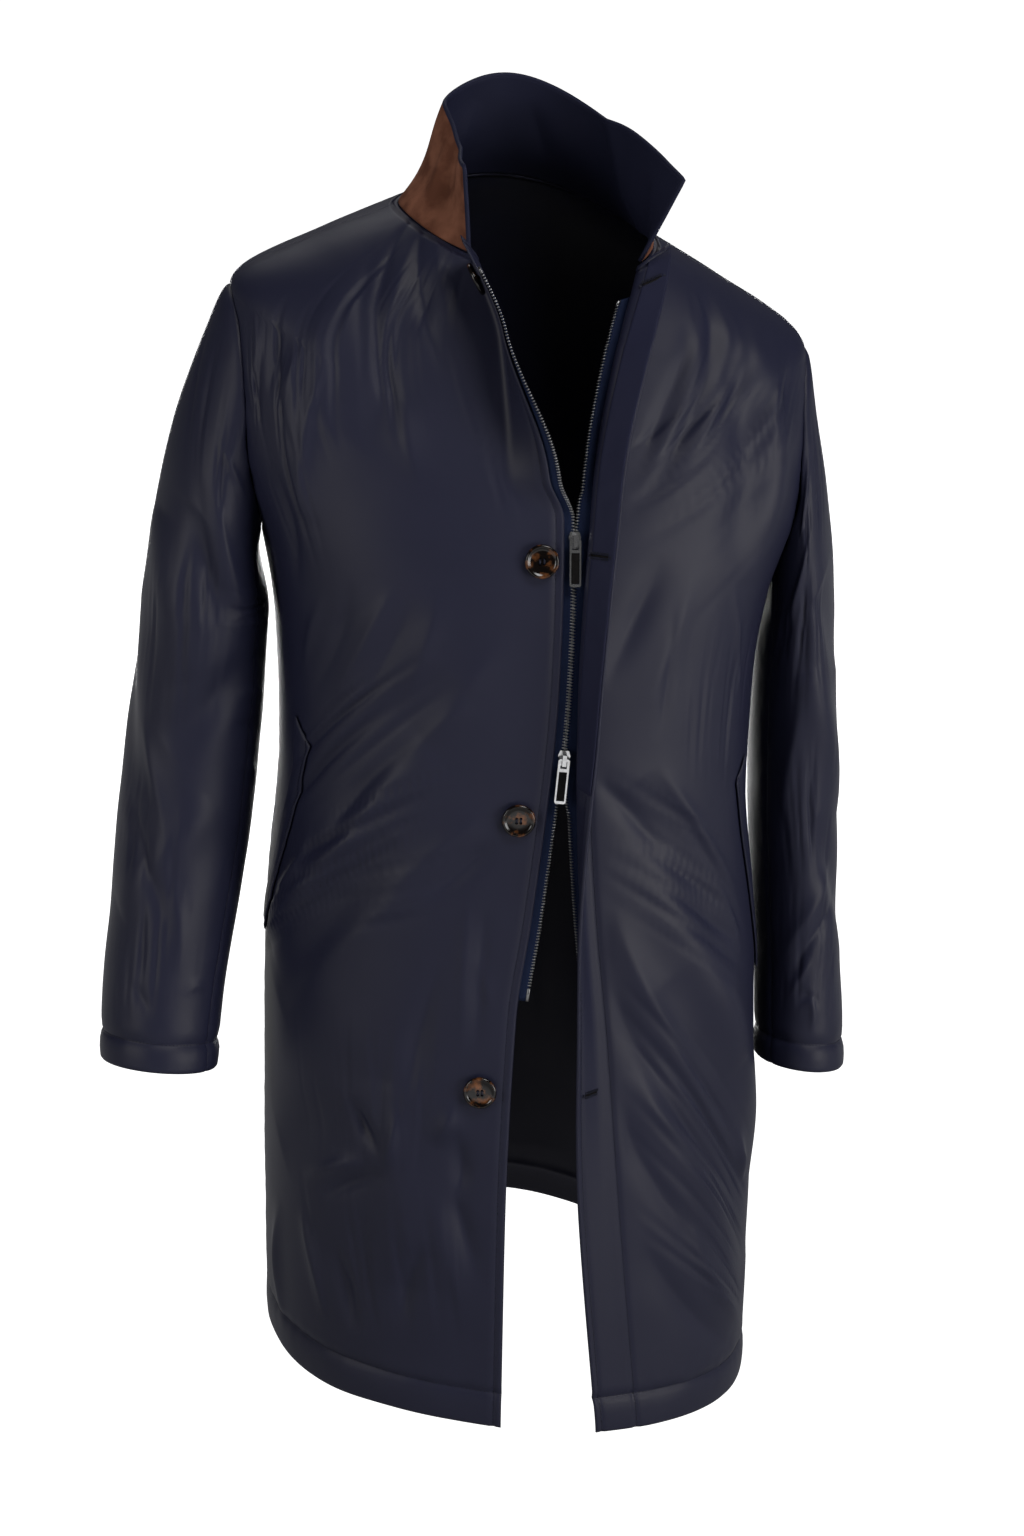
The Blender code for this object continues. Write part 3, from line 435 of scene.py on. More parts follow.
print("armhole height:", round((SHOULDER_LEVEL - UNDERARM_LEVEL) * BODY_RUN, 3))

# %% [markdown]
# Each front goes on past a roll line to its edge. On the wearer's left, this strip is the fly, and it is
# turned out at the neck and lies flat at the hem. On the right, only its top is turned out.

# %% Front edges
FrontLine = namedtuple("FrontLine", "level right_roll left_roll right_turn left_turn")
FRONT_LINES = (
    FrontLine(0.00, -0.0610, 0.0930, 0, 0),
    FrontLine(0.20, -0.0590, 0.0740, 0, 14),
    FrontLine(0.37, -0.0520, 0.0590, 0, 50),
    FrontLine(0.45, -0.0400, 0.0500, 0, 72),
    FrontLine(0.53, -0.0295, 0.0440, 0, 96),
    FrontLine(0.58, -0.0245, 0.0420, 0, 110),
    FrontLine(0.63, -0.0210, 0.0420, 0, 118),
    FrontLine(0.70, -0.0185, 0.0445, 0, 126),
    FrontLine(0.79, -0.0175, 0.0500, 0, 132),
    FrontLine(0.83, -0.0275, 0.0525, 25, 135),
    FrontLine(0.88, -0.0255, 0.0580, 60, 140),
    FrontLine(0.94, -0.0290, 0.0720, 98, 150),
    FrontLine(1.00, -0.0480, 0.0880, 104, 162),
)
RIGHT_STRIP = 0.040
RIGHT_BEND = 0.010
FLY_WIDTH = 0.037
FLY_BEND = 0.014


def roll_x(side, level):
    return column(FRONT_LINES, "left_roll" if side == LEFT else "right_roll", level)


def front_edge(side, level, past):
    """Outer point, direction to the edge and outward normal at a distance past the roll line."""
    turn, bend = ("left_turn", FLY_BEND) if side == LEFT else ("right_turn", RIGHT_BEND)
    angle = angle_at(roll_x(side, level), level)
    along_u, along_v = slopes_of(body_point, angle, level)
    normal = unit(np.cross(along_u, along_v))
    onward = -side * unit(along_u)
    full = np.radians(column(FRONT_LINES, turn, level)) + NUDGE
    turned = full * np.clip(past / bend, 0, 1)
    straight = np.minimum(past, 0) + np.maximum(past - bend, 0)
    forward = bend / full * np.sin(turned) + straight * np.cos(turned)
    outward = bend / full * (1 - np.cos(turned)) + straight * np.sin(turned)
    point = body_point(angle, level) + onward * forward[..., None] + normal * outward[..., None]
    towards = onward * np.cos(turned)[..., None] + normal * np.sin(turned)[..., None]
    facing = normal * np.cos(turned)[..., None] - onward * np.sin(turned)[..., None]
    return point, towards, facing


print("fly width:", FLY_WIDTH)

# %% [markdown]
# A sleeve starts at the armhole's edge and leaves it in its own direction, like the head of a set-in
# sleeve. Below the underarm it follows a stack of ovals down to the cuff. The two sleeves hang
# differently.

# %% Sleeve form
SleeveRing = namedtuple("SleeveRing", "run height out back half_width half_depth front_lift")
SLEEVE_RINGS = {
    RIGHT: (
        SleeveRing(0.0, -0.360, 0.2530, 0.000, 0.0520, 0.076, 0.000),
        SleeveRing(0.2, -0.445, 0.2620, 0.000, 0.0550, 0.073, 0.002),
        SleeveRing(0.4, -0.530, 0.2710, -0.008, 0.0550, 0.068, 0.006),
        SleeveRing(0.6, -0.612, 0.2825, -0.026, 0.0520, 0.062, 0.010),
        SleeveRing(0.8, -0.684, 0.2930, -0.046, 0.0495, 0.057, 0.011),
        SleeveRing(1.0, -0.738, 0.2970, -0.060, 0.0480, 0.054, 0.011),
    ),
    LEFT: (
        SleeveRing(0.0, -0.360, 0.2350, 0.012, 0.0340, 0.078, 0.000),
        SleeveRing(0.2, -0.442, 0.2375, 0.014, 0.0360, 0.075, 0.002),
        SleeveRing(0.4, -0.522, 0.2415, 0.012, 0.0365, 0.069, 0.004),
        SleeveRing(0.6, -0.600, 0.2460, 0.004, 0.0360, 0.062, 0.006),
        SleeveRing(0.8, -0.666, 0.2485, -0.006, 0.0370, 0.057, 0.008),
        SleeveRing(1.0, -0.710, 0.2490, -0.014, 0.0375, 0.054, 0.008),
    ),
}
HeadWay = namedtuple("HeadWay", "out_at_top out_at_underarm ahead down")
HEAD_WAYS = {RIGHT: HeadWay(0.45, 0.25, 0.20, 0.85), LEFT: HeadWay(0.20, 0.05, 0.20, 0.90)}
HEAD_PULL = 0.40
HEAD_GAP = 0.00045
ARM_LOOK_AHEAD = 0.05
SLEEVE_RADIUS = 0.06
SLEEVE_RUN = 0.40
SLEEVE_FOLDS = {
    RIGHT: (
        Fold(60, 0.55, 110, 0.95, 0.020, -0.005),
        Fold(20, 0.70, 80, 1.10, 0.024, 0.005),
        Fold(130, 1.05, 70, 1.25, 0.016, -0.005),
        Fold(-20, 1.00, 40, 1.40, 0.020, -0.005),
        Fold(110, 1.35, 30, 1.60, 0.018, 0.005),
        Fold(-60, 1.10, -110, 1.40, 0.020, -0.005),
    ),
    LEFT: (
        Fold(70, 0.60, 30, 1.00, 0.020, -0.005),
        Fold(90, 0.95, 20, 1.30, 0.020, 0.005),
        Fold(80, 1.30, 0, 1.60, 0.018, -0.005),
        Fold(-60, 1.10, -110, 1.40, 0.020, -0.005),
    ),
}


def sleeve_ring(side, turn, run):
    size = {name: column(SLEEVE_RINGS[side], name, run) for name in SleeveRing._fields[1:]}
    x = side * (size["out"] + size["half_width"] * np.cos(turn))
    y = size["back"] - size["half_depth"] * np.sin(turn)
    return tilted(x, y, size["height"] + size["front_lift"] * np.sin(turn))


def sleeve_form(side, turn, run):
    """A sleeve without folds: run 0 to 1 is the head, from the armhole, and 1 to 2 the arm."""
    turn, run = np.broadcast_arrays(np.asarray(turn, float), np.asarray(run, float))
    around = np.mod(turn + np.pi, WHOLE_TURN) - np.pi
    level = armhole_level(around)
    start = body_point(side * armhole_angle(around, seam_angle(level)), level)
    way = HEAD_WAYS[side]
    top_share = (1 + np.cos(turn)) / 2
    out = way.out_at_underarm + (way.out_at_top - way.out_at_underarm) * top_share
    leaving = unit(np.stack([side * out, -way.ahead * np.sin(turn), np.full_like(turn, -way.down)], -1))
    start = start + leaving * HEAD_GAP
    arm = np.clip(run - 1, 0, 1)
    first = sleeve_ring(side, turn, 0 * arm)
    arriving = unit(sleeve_ring(side, turn, 0 * arm + ARM_LOOK_AHEAD) - first)
    pull = HEAD_PULL * np.linalg.norm(first - start, axis=-1, keepdims=True)
    head = np.clip(run, 0, 1)[..., None]
    bends = (start, start + leaving * pull, first - arriving * pull, first)
    shares = ((1 - head) ** 3, 3 * head * (1 - head) ** 2, 3 * head**2 * (1 - head), head**3)
    cap = sum(bend * share for bend, share in zip(bends, shares))
    return np.where((run < 1)[..., None], cap, sleeve_ring(side, turn, arm))


def sleeve_point(side, turn, run):
    def form(u, v):
        return sleeve_form(side, u, v)

    around = np.mod(turn + np.pi, WHOLE_TURN) - np.pi
    lift = fold_height(SLEEVE_FOLDS[side], around, run, SLEEVE_RADIUS, SLEEVE_RUN)
    inside = np.clip(run, 2 * NUDGE, 2 - 2 * NUDGE)
    return form(turn, run) + side * normals_of(form, turn, inside) * lift[..., None]


print("right cuff, half width:", SLEEVE_RINGS[RIGHT][-1].half_width)

# %% [markdown]
# The collar stands up on the neckline. Each section says how high its top edge is over the seam, and how
# far it leans out or in.

# %% Collar form
CollarSection = namedtuple("CollarSection", "angle height out")
COLLAR_SECTIONS = (
    CollarSection(-324, 0.066, 0.047),
    CollarSection(-310, 0.073, 0.014),
    CollarSection(-295, 0.079, -0.008),
    CollarSection(-280, 0.083, -0.020),
    CollarSection(-265, 0.085, -0.028),
    CollarSection(-220, 0.084, -0.030),
    CollarSection(-180, 0.082, -0.030),
    CollarSection(-140, 0.080, -0.033),
    CollarSection(-95, 0.077, -0.035),
    CollarSection(-75, 0.069, -0.037),
    CollarSection(-50, 0.064, -0.027),
    CollarSection(-30, 0.067, 0.010),
)
COLLAR_BOW = 0.30  # where it leans in, the collar does so more strongly near its seam


def collar_point(angle, rise):
    degrees = np.degrees(angle)
    seam = body_point(angle, np.ones_like(angle))
    outward = unit(seam * np.array([1, 1, 0]))
    climb = column(COLLAR_SECTIONS, "height", degrees) * rise
    lean = column(COLLAR_SECTIONS, "out", degrees)
    bow = COLLAR_BOW * np.minimum(lean, 0) * np.sin(np.pi * rise) * (1 - rise)
    lift = np.array([0, 0, 1]) * (climb + SEAM_GAP)[..., None]
    return seam + lift + outward * (lean * rise + bow)[..., None]


print("collar height at the back:", COLLAR_SECTIONS[6].height)

# %% [markdown]
# Smaller creases lie on top of the large folds. Each one is a bent line through three places on the
# cloth, a soft ridge where its height is positive and a trough where it is negative. A cloth simulation
# would fold somewhere else on every coat. Lines that are listed one by one fall where this coat has them.

# %% Creases of the body
Crease = namedtuple("Crease", "angle level mid_angle mid_level end_angle end_level width height")
RIGHT_FRONT_CREASES = (
    Crease(-50, 0.898, -45, 0.835, -54, 0.715, 0.007, 0.004),
    Crease(-74, 1.020, -42, 0.932, -32, 0.867, 0.006, -0.004),
    Crease(-60, 1.010, -36, 0.927, -26, 0.858, 0.010, 0.004),
    Crease(-73, 1.030, -36, 0.958, -19, 0.904, 0.007, -0.004),
    Crease(-61, 1.030, -30, 0.964, -18, 0.924, 0.012, 0.003),
    Crease(-68, 0.981, -42, 0.915, -38, 0.864, 0.007, -0.0025),
    Crease(-28, 0.875, -23, 0.844, -20, 0.798, 0.012, 0.003),
    Crease(-42, 0.867, -42, 0.838, -38, 0.812, 0.009, 0.003),
    Crease(-58, 0.884, -58, 0.855, -57, 0.824, 0.007, -0.003),
    Crease(-53, 0.887, -52, 0.855, -54, 0.827, 0.007, 0.003),
    Crease(-63, 0.864, -62, 0.832, -60, 0.798, 0.006, -0.003),
    Crease(-70, 0.875, -64, 0.852, -66, 0.815, 0.006, 0.003),
    Crease(-56, 0.773, -56, 0.727, -62, 0.676, 0.010, -0.004),
    Crease(-26, 0.704, -35, 0.661, -50, 0.596, 0.009, 0.004),
    Crease(-48, 0.681, -57, 0.647, -63, 0.610, 0.007, 0.003),
    Crease(-16, 0.707, -20, 0.664, -28, 0.607, 0.012, 0.004),
    Crease(-22, 0.695, -30, 0.650, -43, 0.584, 0.010, -0.004),
    Crease(-4, 0.673, -12, 0.630, -20, 0.590, 0.014, 0.003),
    Crease(-38, 0.701, -46, 0.647, -60, 0.587, 0.010, -0.003),
    Crease(-52, 0.473, -40, 0.530, -20, 0.593, 0.011, -0.006),
    Crease(-92, 0.345, -52, 0.459, -28, 0.559, 0.010, 0.006),
    Crease(-28, 0.559, -18, 0.596, -10, 0.621, 0.010, 0.004),
    Crease(-90, 0.350, -67, 0.433, -58, 0.481, 0.008, 0.004),
    Crease(-92, 0.338, -56, 0.424, -44, 0.464, 0.007, -0.003),
    Crease(-35, 0.439, -20, 0.490, -2, 0.544, 0.012, 0.004),
    Crease(-22, 0.450, -12, 0.484, -6, 0.510, 0.009, -0.005),
    Crease(-60, 0.350, -38, 0.422, -18, 0.473, 0.014, 0.003),
    Crease(-24, 0.290, -22, 0.342, -16, 0.419, 0.010, -0.003),
    Crease(-11, 0.467, -12, 0.407, -12, 0.333, 0.007, 0.003),
    Crease(-8, 0.461, -8, 0.399, -9, 0.333, 0.006, -0.003),
    Crease(-8, 0.419, -7, 0.396, -5, 0.376, 0.006, 0.0025),
    Crease(-40, 0.279, -36, 0.256, -30, 0.236, 0.006, -0.0035),
    Crease(-58, 0.185, -46, 0.210, -36, 0.227, 0.006, 0.003),
    Crease(-51, 0.173, -40, 0.202, -28, 0.225, 0.006, -0.003),
    Crease(-26, 0.282, -28, 0.253, -30, 0.227, 0.007, 0.0025),
    Crease(-18, 0.253, -15, 0.276, -12, 0.302, 0.008, 0.0025),
    Crease(-14, 0.273, -12, 0.236, -14, 0.210, 0.008, -0.003),
    Crease(-14, 0.222, -12, 0.188, -7, 0.130, 0.008, -0.0024),
    Crease(-16, 0.216, -16, 0.168, -11, 0.096, 0.009, 0.0020),
    Crease(-20, 0.168, -24, 0.130, -28, 0.079, 0.008, -0.0028),
    Crease(-59, 0.156, -54, 0.116, -50, 0.059, 0.008, 0.003),
    Crease(-47, 0.142, -42, 0.099, -40, 0.059, 0.008, -0.003),
    Crease(-70, 0.145, -74, 0.082, -68, 0.022, 0.010, 0.003),
)
LEFT_FRONT_CREASES = (
    Crease(66, 0.960, 35, 0.895, 14, 0.790, 0.010, -0.006),
    Crease(62, 0.932, 40, 0.890, 19, 0.793, 0.012, 0.004),
    Crease(67, 0.927, 49, 0.912, 42, 0.890, 0.008, -0.002),
    Crease(42, 0.944, 26, 0.898, 14, 0.824, 0.009, -0.005),
    Crease(50, 0.944, 32, 0.901, 16, 0.824, 0.009, 0.004),
    Crease(23, 0.755, 18, 0.695, 12, 0.638, 0.014, -0.006),
    Crease(44, 0.724, 53, 0.673, 60, 0.618, 0.006, 0.003),
    Crease(68, 0.907, 55, 0.867, 52, 0.827, 0.006, 0.002),
    Crease(70, 0.901, 59, 0.861, 53, 0.830, 0.006, -0.002),
    Crease(26, 0.715, 28, 0.647, 26, 0.596, 0.006, -0.002),
    Crease(30, 0.750, 28, 0.678, 20, 0.616, 0.014, 0.003),
    Crease(26, 0.578, 42, 0.519, 64, 0.439, 0.009, 0.005),
    Crease(40, 0.507, 53, 0.461, 62, 0.407, 0.008, 0.004),
    Crease(34, 0.539, 50, 0.476, 64, 0.422, 0.007, -0.004),
    Crease(8, 0.572, 20, 0.536, 30, 0.499, 0.010, -0.005),
    Crease(16, 0.464, 26, 0.382, 56, 0.239, 0.014, 0.006),
    Crease(15, 0.407, 27, 0.322, 70, 0.145, 0.014, -0.006),
    Crease(22, 0.333, 35, 0.256, 76, 0.122, 0.012, 0.005),
    Crease(16, 0.319, 26, 0.233, 56, 0.105, 0.013, -0.005),
    Crease(38, 0.185, 50, 0.119, 72, 0.051, 0.008, 0.0030),
    Crease(60, 0.256, 65, 0.225, 69, 0.196, 0.006, 0.003),
    Crease(22, 0.190, 39, 0.105, 64, 0.042, 0.012, -0.0028),
)
BACK_CREASES = (
    Crease(120, 0.860, 130, 0.790, 126, 0.700, 0.010, -0.005),
    Crease(132, 0.880, 142, 0.800, 138, 0.690, 0.012, 0.004),
    Crease(240, 0.860, 230, 0.790, 236, 0.690, 0.010, -0.005),
    Crease(226, 0.890, 218, 0.800, 222, 0.700, 0.012, 0.004),
    Crease(110, 0.560, 140, 0.520, 168, 0.540, 0.012, -0.004),
    Crease(250, 0.570, 220, 0.515, 192, 0.530, 0.012, -0.004),
    Crease(115, 0.500, 145, 0.470, 172, 0.480, 0.012, 0.004),
    Crease(245, 0.510, 214, 0.465, 188, 0.470, 0.012, 0.004),
    Crease(140, 0.420, 134, 0.260, 122, 0.100, 0.016, 0.005),
    Crease(160, 0.400, 158, 0.240, 150, 0.060, 0.016, -0.005),
    Crease(202, 0.410, 206, 0.240, 212, 0.080, 0.016, 0.005),
    Crease(224, 0.420, 232, 0.260, 244, 0.110, 0.016, -0.005),
    Crease(176, 0.900, 172, 0.800, 178, 0.700, 0.012, 0.003),
    Crease(196, 0.940, 204, 0.860, 200, 0.780, 0.010, -0.003),
)
CREASE_STEPS = 12
CREASE_REACH = 3.0  # a crease is worked out this many widths to each side of its line
CREASE_POWER = 1.5  # 2 is a soft round profile, lower is crisper
CREASE_END_POWER = 1.3  # above 1 a crease fades out gently at its ends


def crease_lift(creases, across, along, radius, run):
    """How far the creases lift the cloth, at distances across and along it."""
    total = np.zeros(across.shape)
    for crease in creases:
        spots = np.radians(crease[:6:2]) * radius, np.array(crease[1:6:2]) * run
        start, middle, end = np.stack(spots, 1)
        bend = 2 * middle - (start + end) / 2
        share = np.linspace(0, 1, CREASE_STEPS + 1)[:, None]
        path = (1 - share) ** 2 * start + 2 * share * (1 - share) * bend + share**2 * end
        low, high = path.min(0) - CREASE_REACH * crease.width, path.max(0) + CREASE_REACH * crease.width
        near = (across > low[0]) & (across < high[0]) & (along > low[1]) & (along < high[1])
        spot = np.stack([across[near], along[near]], -1)
        gap, place = np.full(len(spot), np.inf), np.zeros(len(spot))
        for i, (a, b) in enumerate(zip(path, path[1:])):
            t = np.clip((spot - a) @ (b - a) / ((b - a) @ (b - a)), 0, 1)
            off = np.linalg.norm(spot - a - t[:, None] * (b - a), axis=1)
            place = np.where(off < gap, (i + t) / CREASE_STEPS, place)
            gap = np.minimum(gap, off)
        strength = np.sin(np.pi * place) ** CREASE_END_POWER
        total[near] += crease.height * strength * np.exp(-((gap / crease.width) ** CREASE_POWER))
    return total


SLIM, LOW = 0.80, 0.75  # creases off the skirt are made this much narrower and lower
SKIRT_LEVEL = 0.30
SKIRT_RISE = 1.7  # the crumpled skirt has sharper creases than the rest


def slimmer(creases, skirt_below=0.0):
    """Creases made finer and lower, apart from those that start on the skirt, which are made higher."""
    rows = []
    for row in creases:
        wide, high = (1, SKIRT_RISE) if row.level < skirt_below else (SLIM, LOW)
        rows.append(row._replace(width=row.width * wide, height=row.height * high))
    return tuple(rows)


BODY_CREASES = slimmer(RIGHT_FRONT_CREASES + LEFT_FRONT_CREASES + BACK_CREASES, SKIRT_LEVEL)
print("creases on the body:", len(BODY_CREASES))

# %% [markdown]
# Sleeves crease at the inside of the elbow, below the armhole and above the cuff. These lines are given
# by the turn round the sleeve, 0 on its outside and 90 in front, and by the run from armhole to cuff.

# %% Creases of the sleeves
SLEEVE_CREASES = {
    RIGHT: (
        Crease(38, 1.197, 56, 1.304, 76, 1.451, 0.008, 0.004),
        Crease(32, 1.358, 58, 1.482, 92, 1.667, 0.010, -0.005),
        Crease(62, 0.249, 90, 0.179, 110, 0.094, 0.007, 0.003),
        Crease(80, 0.357, 104, 0.572, 128, 1.019, 0.014, 0.004),
        Crease(58, 0.403, 80, 0.696, 102, 1.050, 0.016, -0.004),
        Crease(126, 0.803, 148, 0.757, 170, 0.919, 0.005, -0.003),
        Crease(128, 0.942, 152, 0.980, 170, 1.035, 0.005, 0.003),
        Crease(128, 1.058, 152, 1.066, 170, 1.096, 0.005, -0.003),
        Crease(126, 1.143, 142, 1.127, 168, 1.166, 0.005, 0.003),
        Crease(122, 1.212, 138, 1.197, 166, 1.235, 0.005, -0.003),
        Crease(130, 1.266, 150, 1.289, 168, 1.335, 0.005, 0.0025),
        Crease(78, 1.489, 96, 1.620, 100, 1.728, 0.010, 0.003),
        Crease(56, 1.744, 68, 1.782, 80, 1.836, 0.008, -0.003),
        Crease(108, 1.775, 118, 1.744, 130, 1.759, 0.006, 0.002),
        Crease(-40, 0.300, -70, 0.500, -84, 0.800, 0.012, -0.004),
        Crease(-60, 0.240, -96, 0.420, -110, 0.700, 0.012, 0.004),
        Crease(-50, 1.150, -90, 1.240, -130, 1.200, 0.009, 0.004),
        Crease(-44, 1.260, -84, 1.340, -126, 1.320, 0.009, -0.004),
        Crease(-60, 1.560, -96, 1.640, -120, 1.760, 0.010, 0.003),
    ),
    LEFT: (
        Crease(60, 0.060, 84, 0.120, 100, 0.160, 0.007, 0.004),
        Crease(78, 0.241, 106, 0.400, 124, 0.726, 0.010, 0.005),
        Crease(92, 0.333, 96, 0.773, 98, 1.035, 0.012, -0.005),
        Crease(98, 1.035, 110, 1.173, 130, 1.412, 0.014, 0.005),
        Crease(82, 1.166, 86, 1.258, 92, 1.366, 0.008, -0.003),
        Crease(36, 1.389, 90, 1.520, 134, 1.659, 0.010, 0.004),
        Crease(20, 1.466, 84, 1.574, 114, 1.697, 0.008, -0.004),
        Crease(120, 1.744, 100, 1.667, 88, 1.628, 0.005, 0.003),
        Crease(108, 1.767, 92, 1.721, 78, 1.759, 0.005, -0.003),
        Crease(92, 1.690, 86, 1.759, 88, 1.844, 0.006, 0.003),
        Crease(-40, 0.300, -70, 0.500, -84, 0.800, 0.012, 0.004),
        Crease(-60, 0.240, -96, 0.420, -110, 0.700, 0.012, -0.004),
        Crease(-50, 1.150, -90, 1.230, -130, 1.180, 0.009, -0.004),
        Crease(-44, 1.260, -84, 1.350, -126, 1.330, 0.009, 0.004),
        Crease(-60, 1.540, -96, 1.640, -120, 1.740, 0.010, 0.003),
    ),
}
SLEEVE_CREASES = {side: slimmer(rows) for side, rows in SLEEVE_CREASES.items()}
print("creases on the sleeves:", {side: len(rows) for side, rows in SLEEVE_CREASES.items()})

# %% [markdown]
# Finer creases come in fans: from the collar seam, from the armholes, from the pocket and from the closed
# zip. A fan is a patch of cloth with four corners. Streaks run along it from its first side to its last,
# and a smooth noise across it decides where each one is, so that they stay side by side and never cross.

# %% Fans of fine creases
FAN_DRIFT = 0.9  # how much the streaks change on their way along a fan
FAN_FINER = 2.1  # between the streaks there are finer ones, this much closer together
FAN_FINER_SHARE = 0.5
FAN_RIDGE, FAN_SLOPE, FAN_MEAN = 0.6, 0.5, 0.3
FAN_SIDE_POWER = 0.8
FAN_RISE = 1.35  # all the fans are this much higher than their rows say
Fan = namedtuple("Fan", "start start_last end end_last streaks height")
BODY_FANS = (
    Fan((-64, 0.970), (-30, 1.020), (-46, 0.790), (-6, 0.840), 16, 0.0031),
    Fan((-76, 0.881), (-48, 0.940), (-62, 0.770), (-34, 0.790), 14, 0.0024),
    Fan((-70, 0.860), (-46, 0.887), (-66, 0.700), (-42, 0.690), 11, 0.0026),
    Fan((-18, 0.960), (-5, 0.930), (-8, 0.800), (0, 0.750), 7, 0.0015),
    Fan((-76, 0.400), (-76, 0.600), (-14, 0.600), (-8, 0.740), 14, 0.0050),
    Fan((-90, 0.340), (-80, 0.470), (-24, 0.480), (-2, 0.600), 14, 0.0050),
    Fan((-50, 0.400), (-50, 0.500), (-12, 0.440), (-2, 0.560), 11, 0.0026),
    Fan((76, 0.860), (52, 0.990), (14, 0.720), (12, 0.900), 14, 0.0042),
    Fan((72, 0.800), (68, 0.930), (26, 0.660), (30, 0.840), 9, 0.0012),
    Fan((10, 0.470), (10, 0.600), (66, 0.360), (62, 0.520), 14, 0.0040),
    Fan((14, 0.280), (14, 0.450), (80, 0.060), (78, 0.220), 16, 0.0046),
    Fan((20, 0.140), (20, 0.320), (74, 0.030), (70, 0.110), 11, 0.0029),
    Fan((-64, 0.350), (-6, 0.390), (-58, 0.200), (-10, 0.220), 14, 0.0018),
    Fan((-66, 0.190), (-6, 0.240), (-56, 0.040), (-4, 0.060), 14, 0.0020),
    Fan((30, 0.700), (72, 0.690), (32, 0.560), (68, 0.530), 16, 0.0018),
    Fan((104, 0.860), (134, 0.960), (124, 0.620), (172, 0.680), 16, 0.0031),
    Fan((226, 0.960), (256, 0.860), (188, 0.680), (236, 0.620), 16, 0.0031),
    Fan((104, 0.580), (106, 0.420), (166, 0.540), (170, 0.400), 13, 0.0037),
    Fan((190, 0.400), (194, 0.540), (254, 0.420), (256, 0.580), 13, 0.0037),
    Fan((112, 0.400), (248, 0.400), (106, 0.050), (254, 0.050), 23, 0.0034),
)
SLEEVE_FANS = {
    RIGHT: (
        Fan((-10, 0.060), (100, 0.040), (40, 0.520), (116, 0.480), 14, 0.0026),
        Fan((20, 0.780), (112, 0.560), (28, 1.240), (122, 1.220), 14, 0.0029),
        Fan((100, 0.700), (110, 1.060), (176, 0.560), (174, 0.900), 13, 0.0034),
        Fan((10, 1.260), (104, 1.380), (20, 1.500), (112, 1.640), 14, 0.0031),
        Fan((26, 1.560), (118, 1.540), (30, 1.860), (124, 1.840), 14, 0.0026),
        Fan((-130, 0.300), (-20, 0.260), (-126, 0.900), (-40, 0.860), 14, 0.0029),
        Fan((-136, 1.060), (-126, 1.480), (-20, 1.040), (-30, 1.420), 14, 0.0031),
    ),
    LEFT: (
        Fan((10, 0.060), (112, 0.040), (50, 0.480), (118, 0.440), 14, 0.0029),
        Fan((58, 0.420), (144, 0.300), (58, 1.100), (156, 1.120), 14, 0.0031),
        Fan((30, 1.060), (140, 1.160), (26, 1.420), (128, 1.480), 14, 0.0031),
        Fan((12, 1.440), (146, 1.440), (40, 1.800), (150, 1.800), 16, 0.0026),
        Fan((-130, 0.300), (-20, 0.260), (-126, 0.900), (-40, 0.860), 14, 0.0029),
        Fan((-136, 1.060), (-126, 1.480), (-20, 1.040), (-30, 1.420), 14, 0.0031),
    ),
}


def in_fan(corners, across, along):
    """Shares across and along a four-cornered patch, and which points lie in it."""
    origin, side, ahead = corners[0], corners[1] - corners[0], corners[2] - corners[0]
    twist = corners[3] - corners[1] - ahead

    def turn(a, b):
        return a[..., 0] * b[..., 1] - a[..., 1] * b[..., 0]

    spot = np.stack([across, along], -1) - origin
    square, line, rest = turn(ahead, twist), turn(ahead, side) - turn(spot, twist), -turn(spot, side)
    inner = np.maximum(line**2 - 4 * square * rest, 0)
    sign = np.where(line < 0, -1, 1)
    t = -2 * rest / (line + sign * np.sqrt(inner))
    base = side + twist * t[..., None]
    s = np.sum((spot - ahead * t[..., None]) * base, -1) / np.sum(base * base, -1)
    return s, t, (s > 0) & (s < 1) & (t > 0) & (t < 1)


def fan_lift(fans, across, along, radius, run):
    total = np.zeros(across.shape)
    for number, fan in enumerate(fans):
        corners = np.array(fan[:4], float) * (math.radians(1) * radius, run)
        s, t, inside = in_fan(corners, across, along)
        s, t = s[inside], t[inside]
        spots = np.stack([s * fan.streaks, t * FAN_DRIFT, 0 * s + number], 1)
        wave = np.array([noise.noise(spot) for spot in spots.tolist()])
        finer = np.array([noise.noise(spot) for spot in (spots * FAN_FINER).tolist()])
        wave = wave + FAN_FINER_SHARE * finer
        crest = FAN_SLOPE * wave + FAN_RIDGE * (FAN_MEAN - np.abs(wave))
        fade = np.sin(np.pi * t) ** CREASE_END_POWER * np.sin(np.pi * s) ** FAN_SIDE_POWER
        total[inside] += FAN_RISE * fan.height * fade * crest
    return total


def wrinkles(creases, fans, across, along, radius, run):
    """Creases and fans together, also where a piece goes round past half a turn."""
    total = np.zeros(across.shape)
    for round_off in (0, WHOLE_TURN * radius):
        total = total + crease_lift(creases, across - round_off, along, radius, run)
        total = total + fan_lift(fans, across - round_off, along, radius, run)
    return total


print("fans:", len(BODY_FANS), [len(rows) for rows in SLEEVE_FANS.values()])

# %% [markdown]
# The shell is a fine woven cloth of navy and brown threads: navy in the shade, and a warm grey where it
# shines. A second colour could be mixed in by the angle of view, but a warm tint on the gloss leaves that
# to the lights. The weave is two sets of threads, and the colour changes slowly over the cloth. The
# threads follow each piece's own cloth directions, which are stored as texture coordinates in metres.

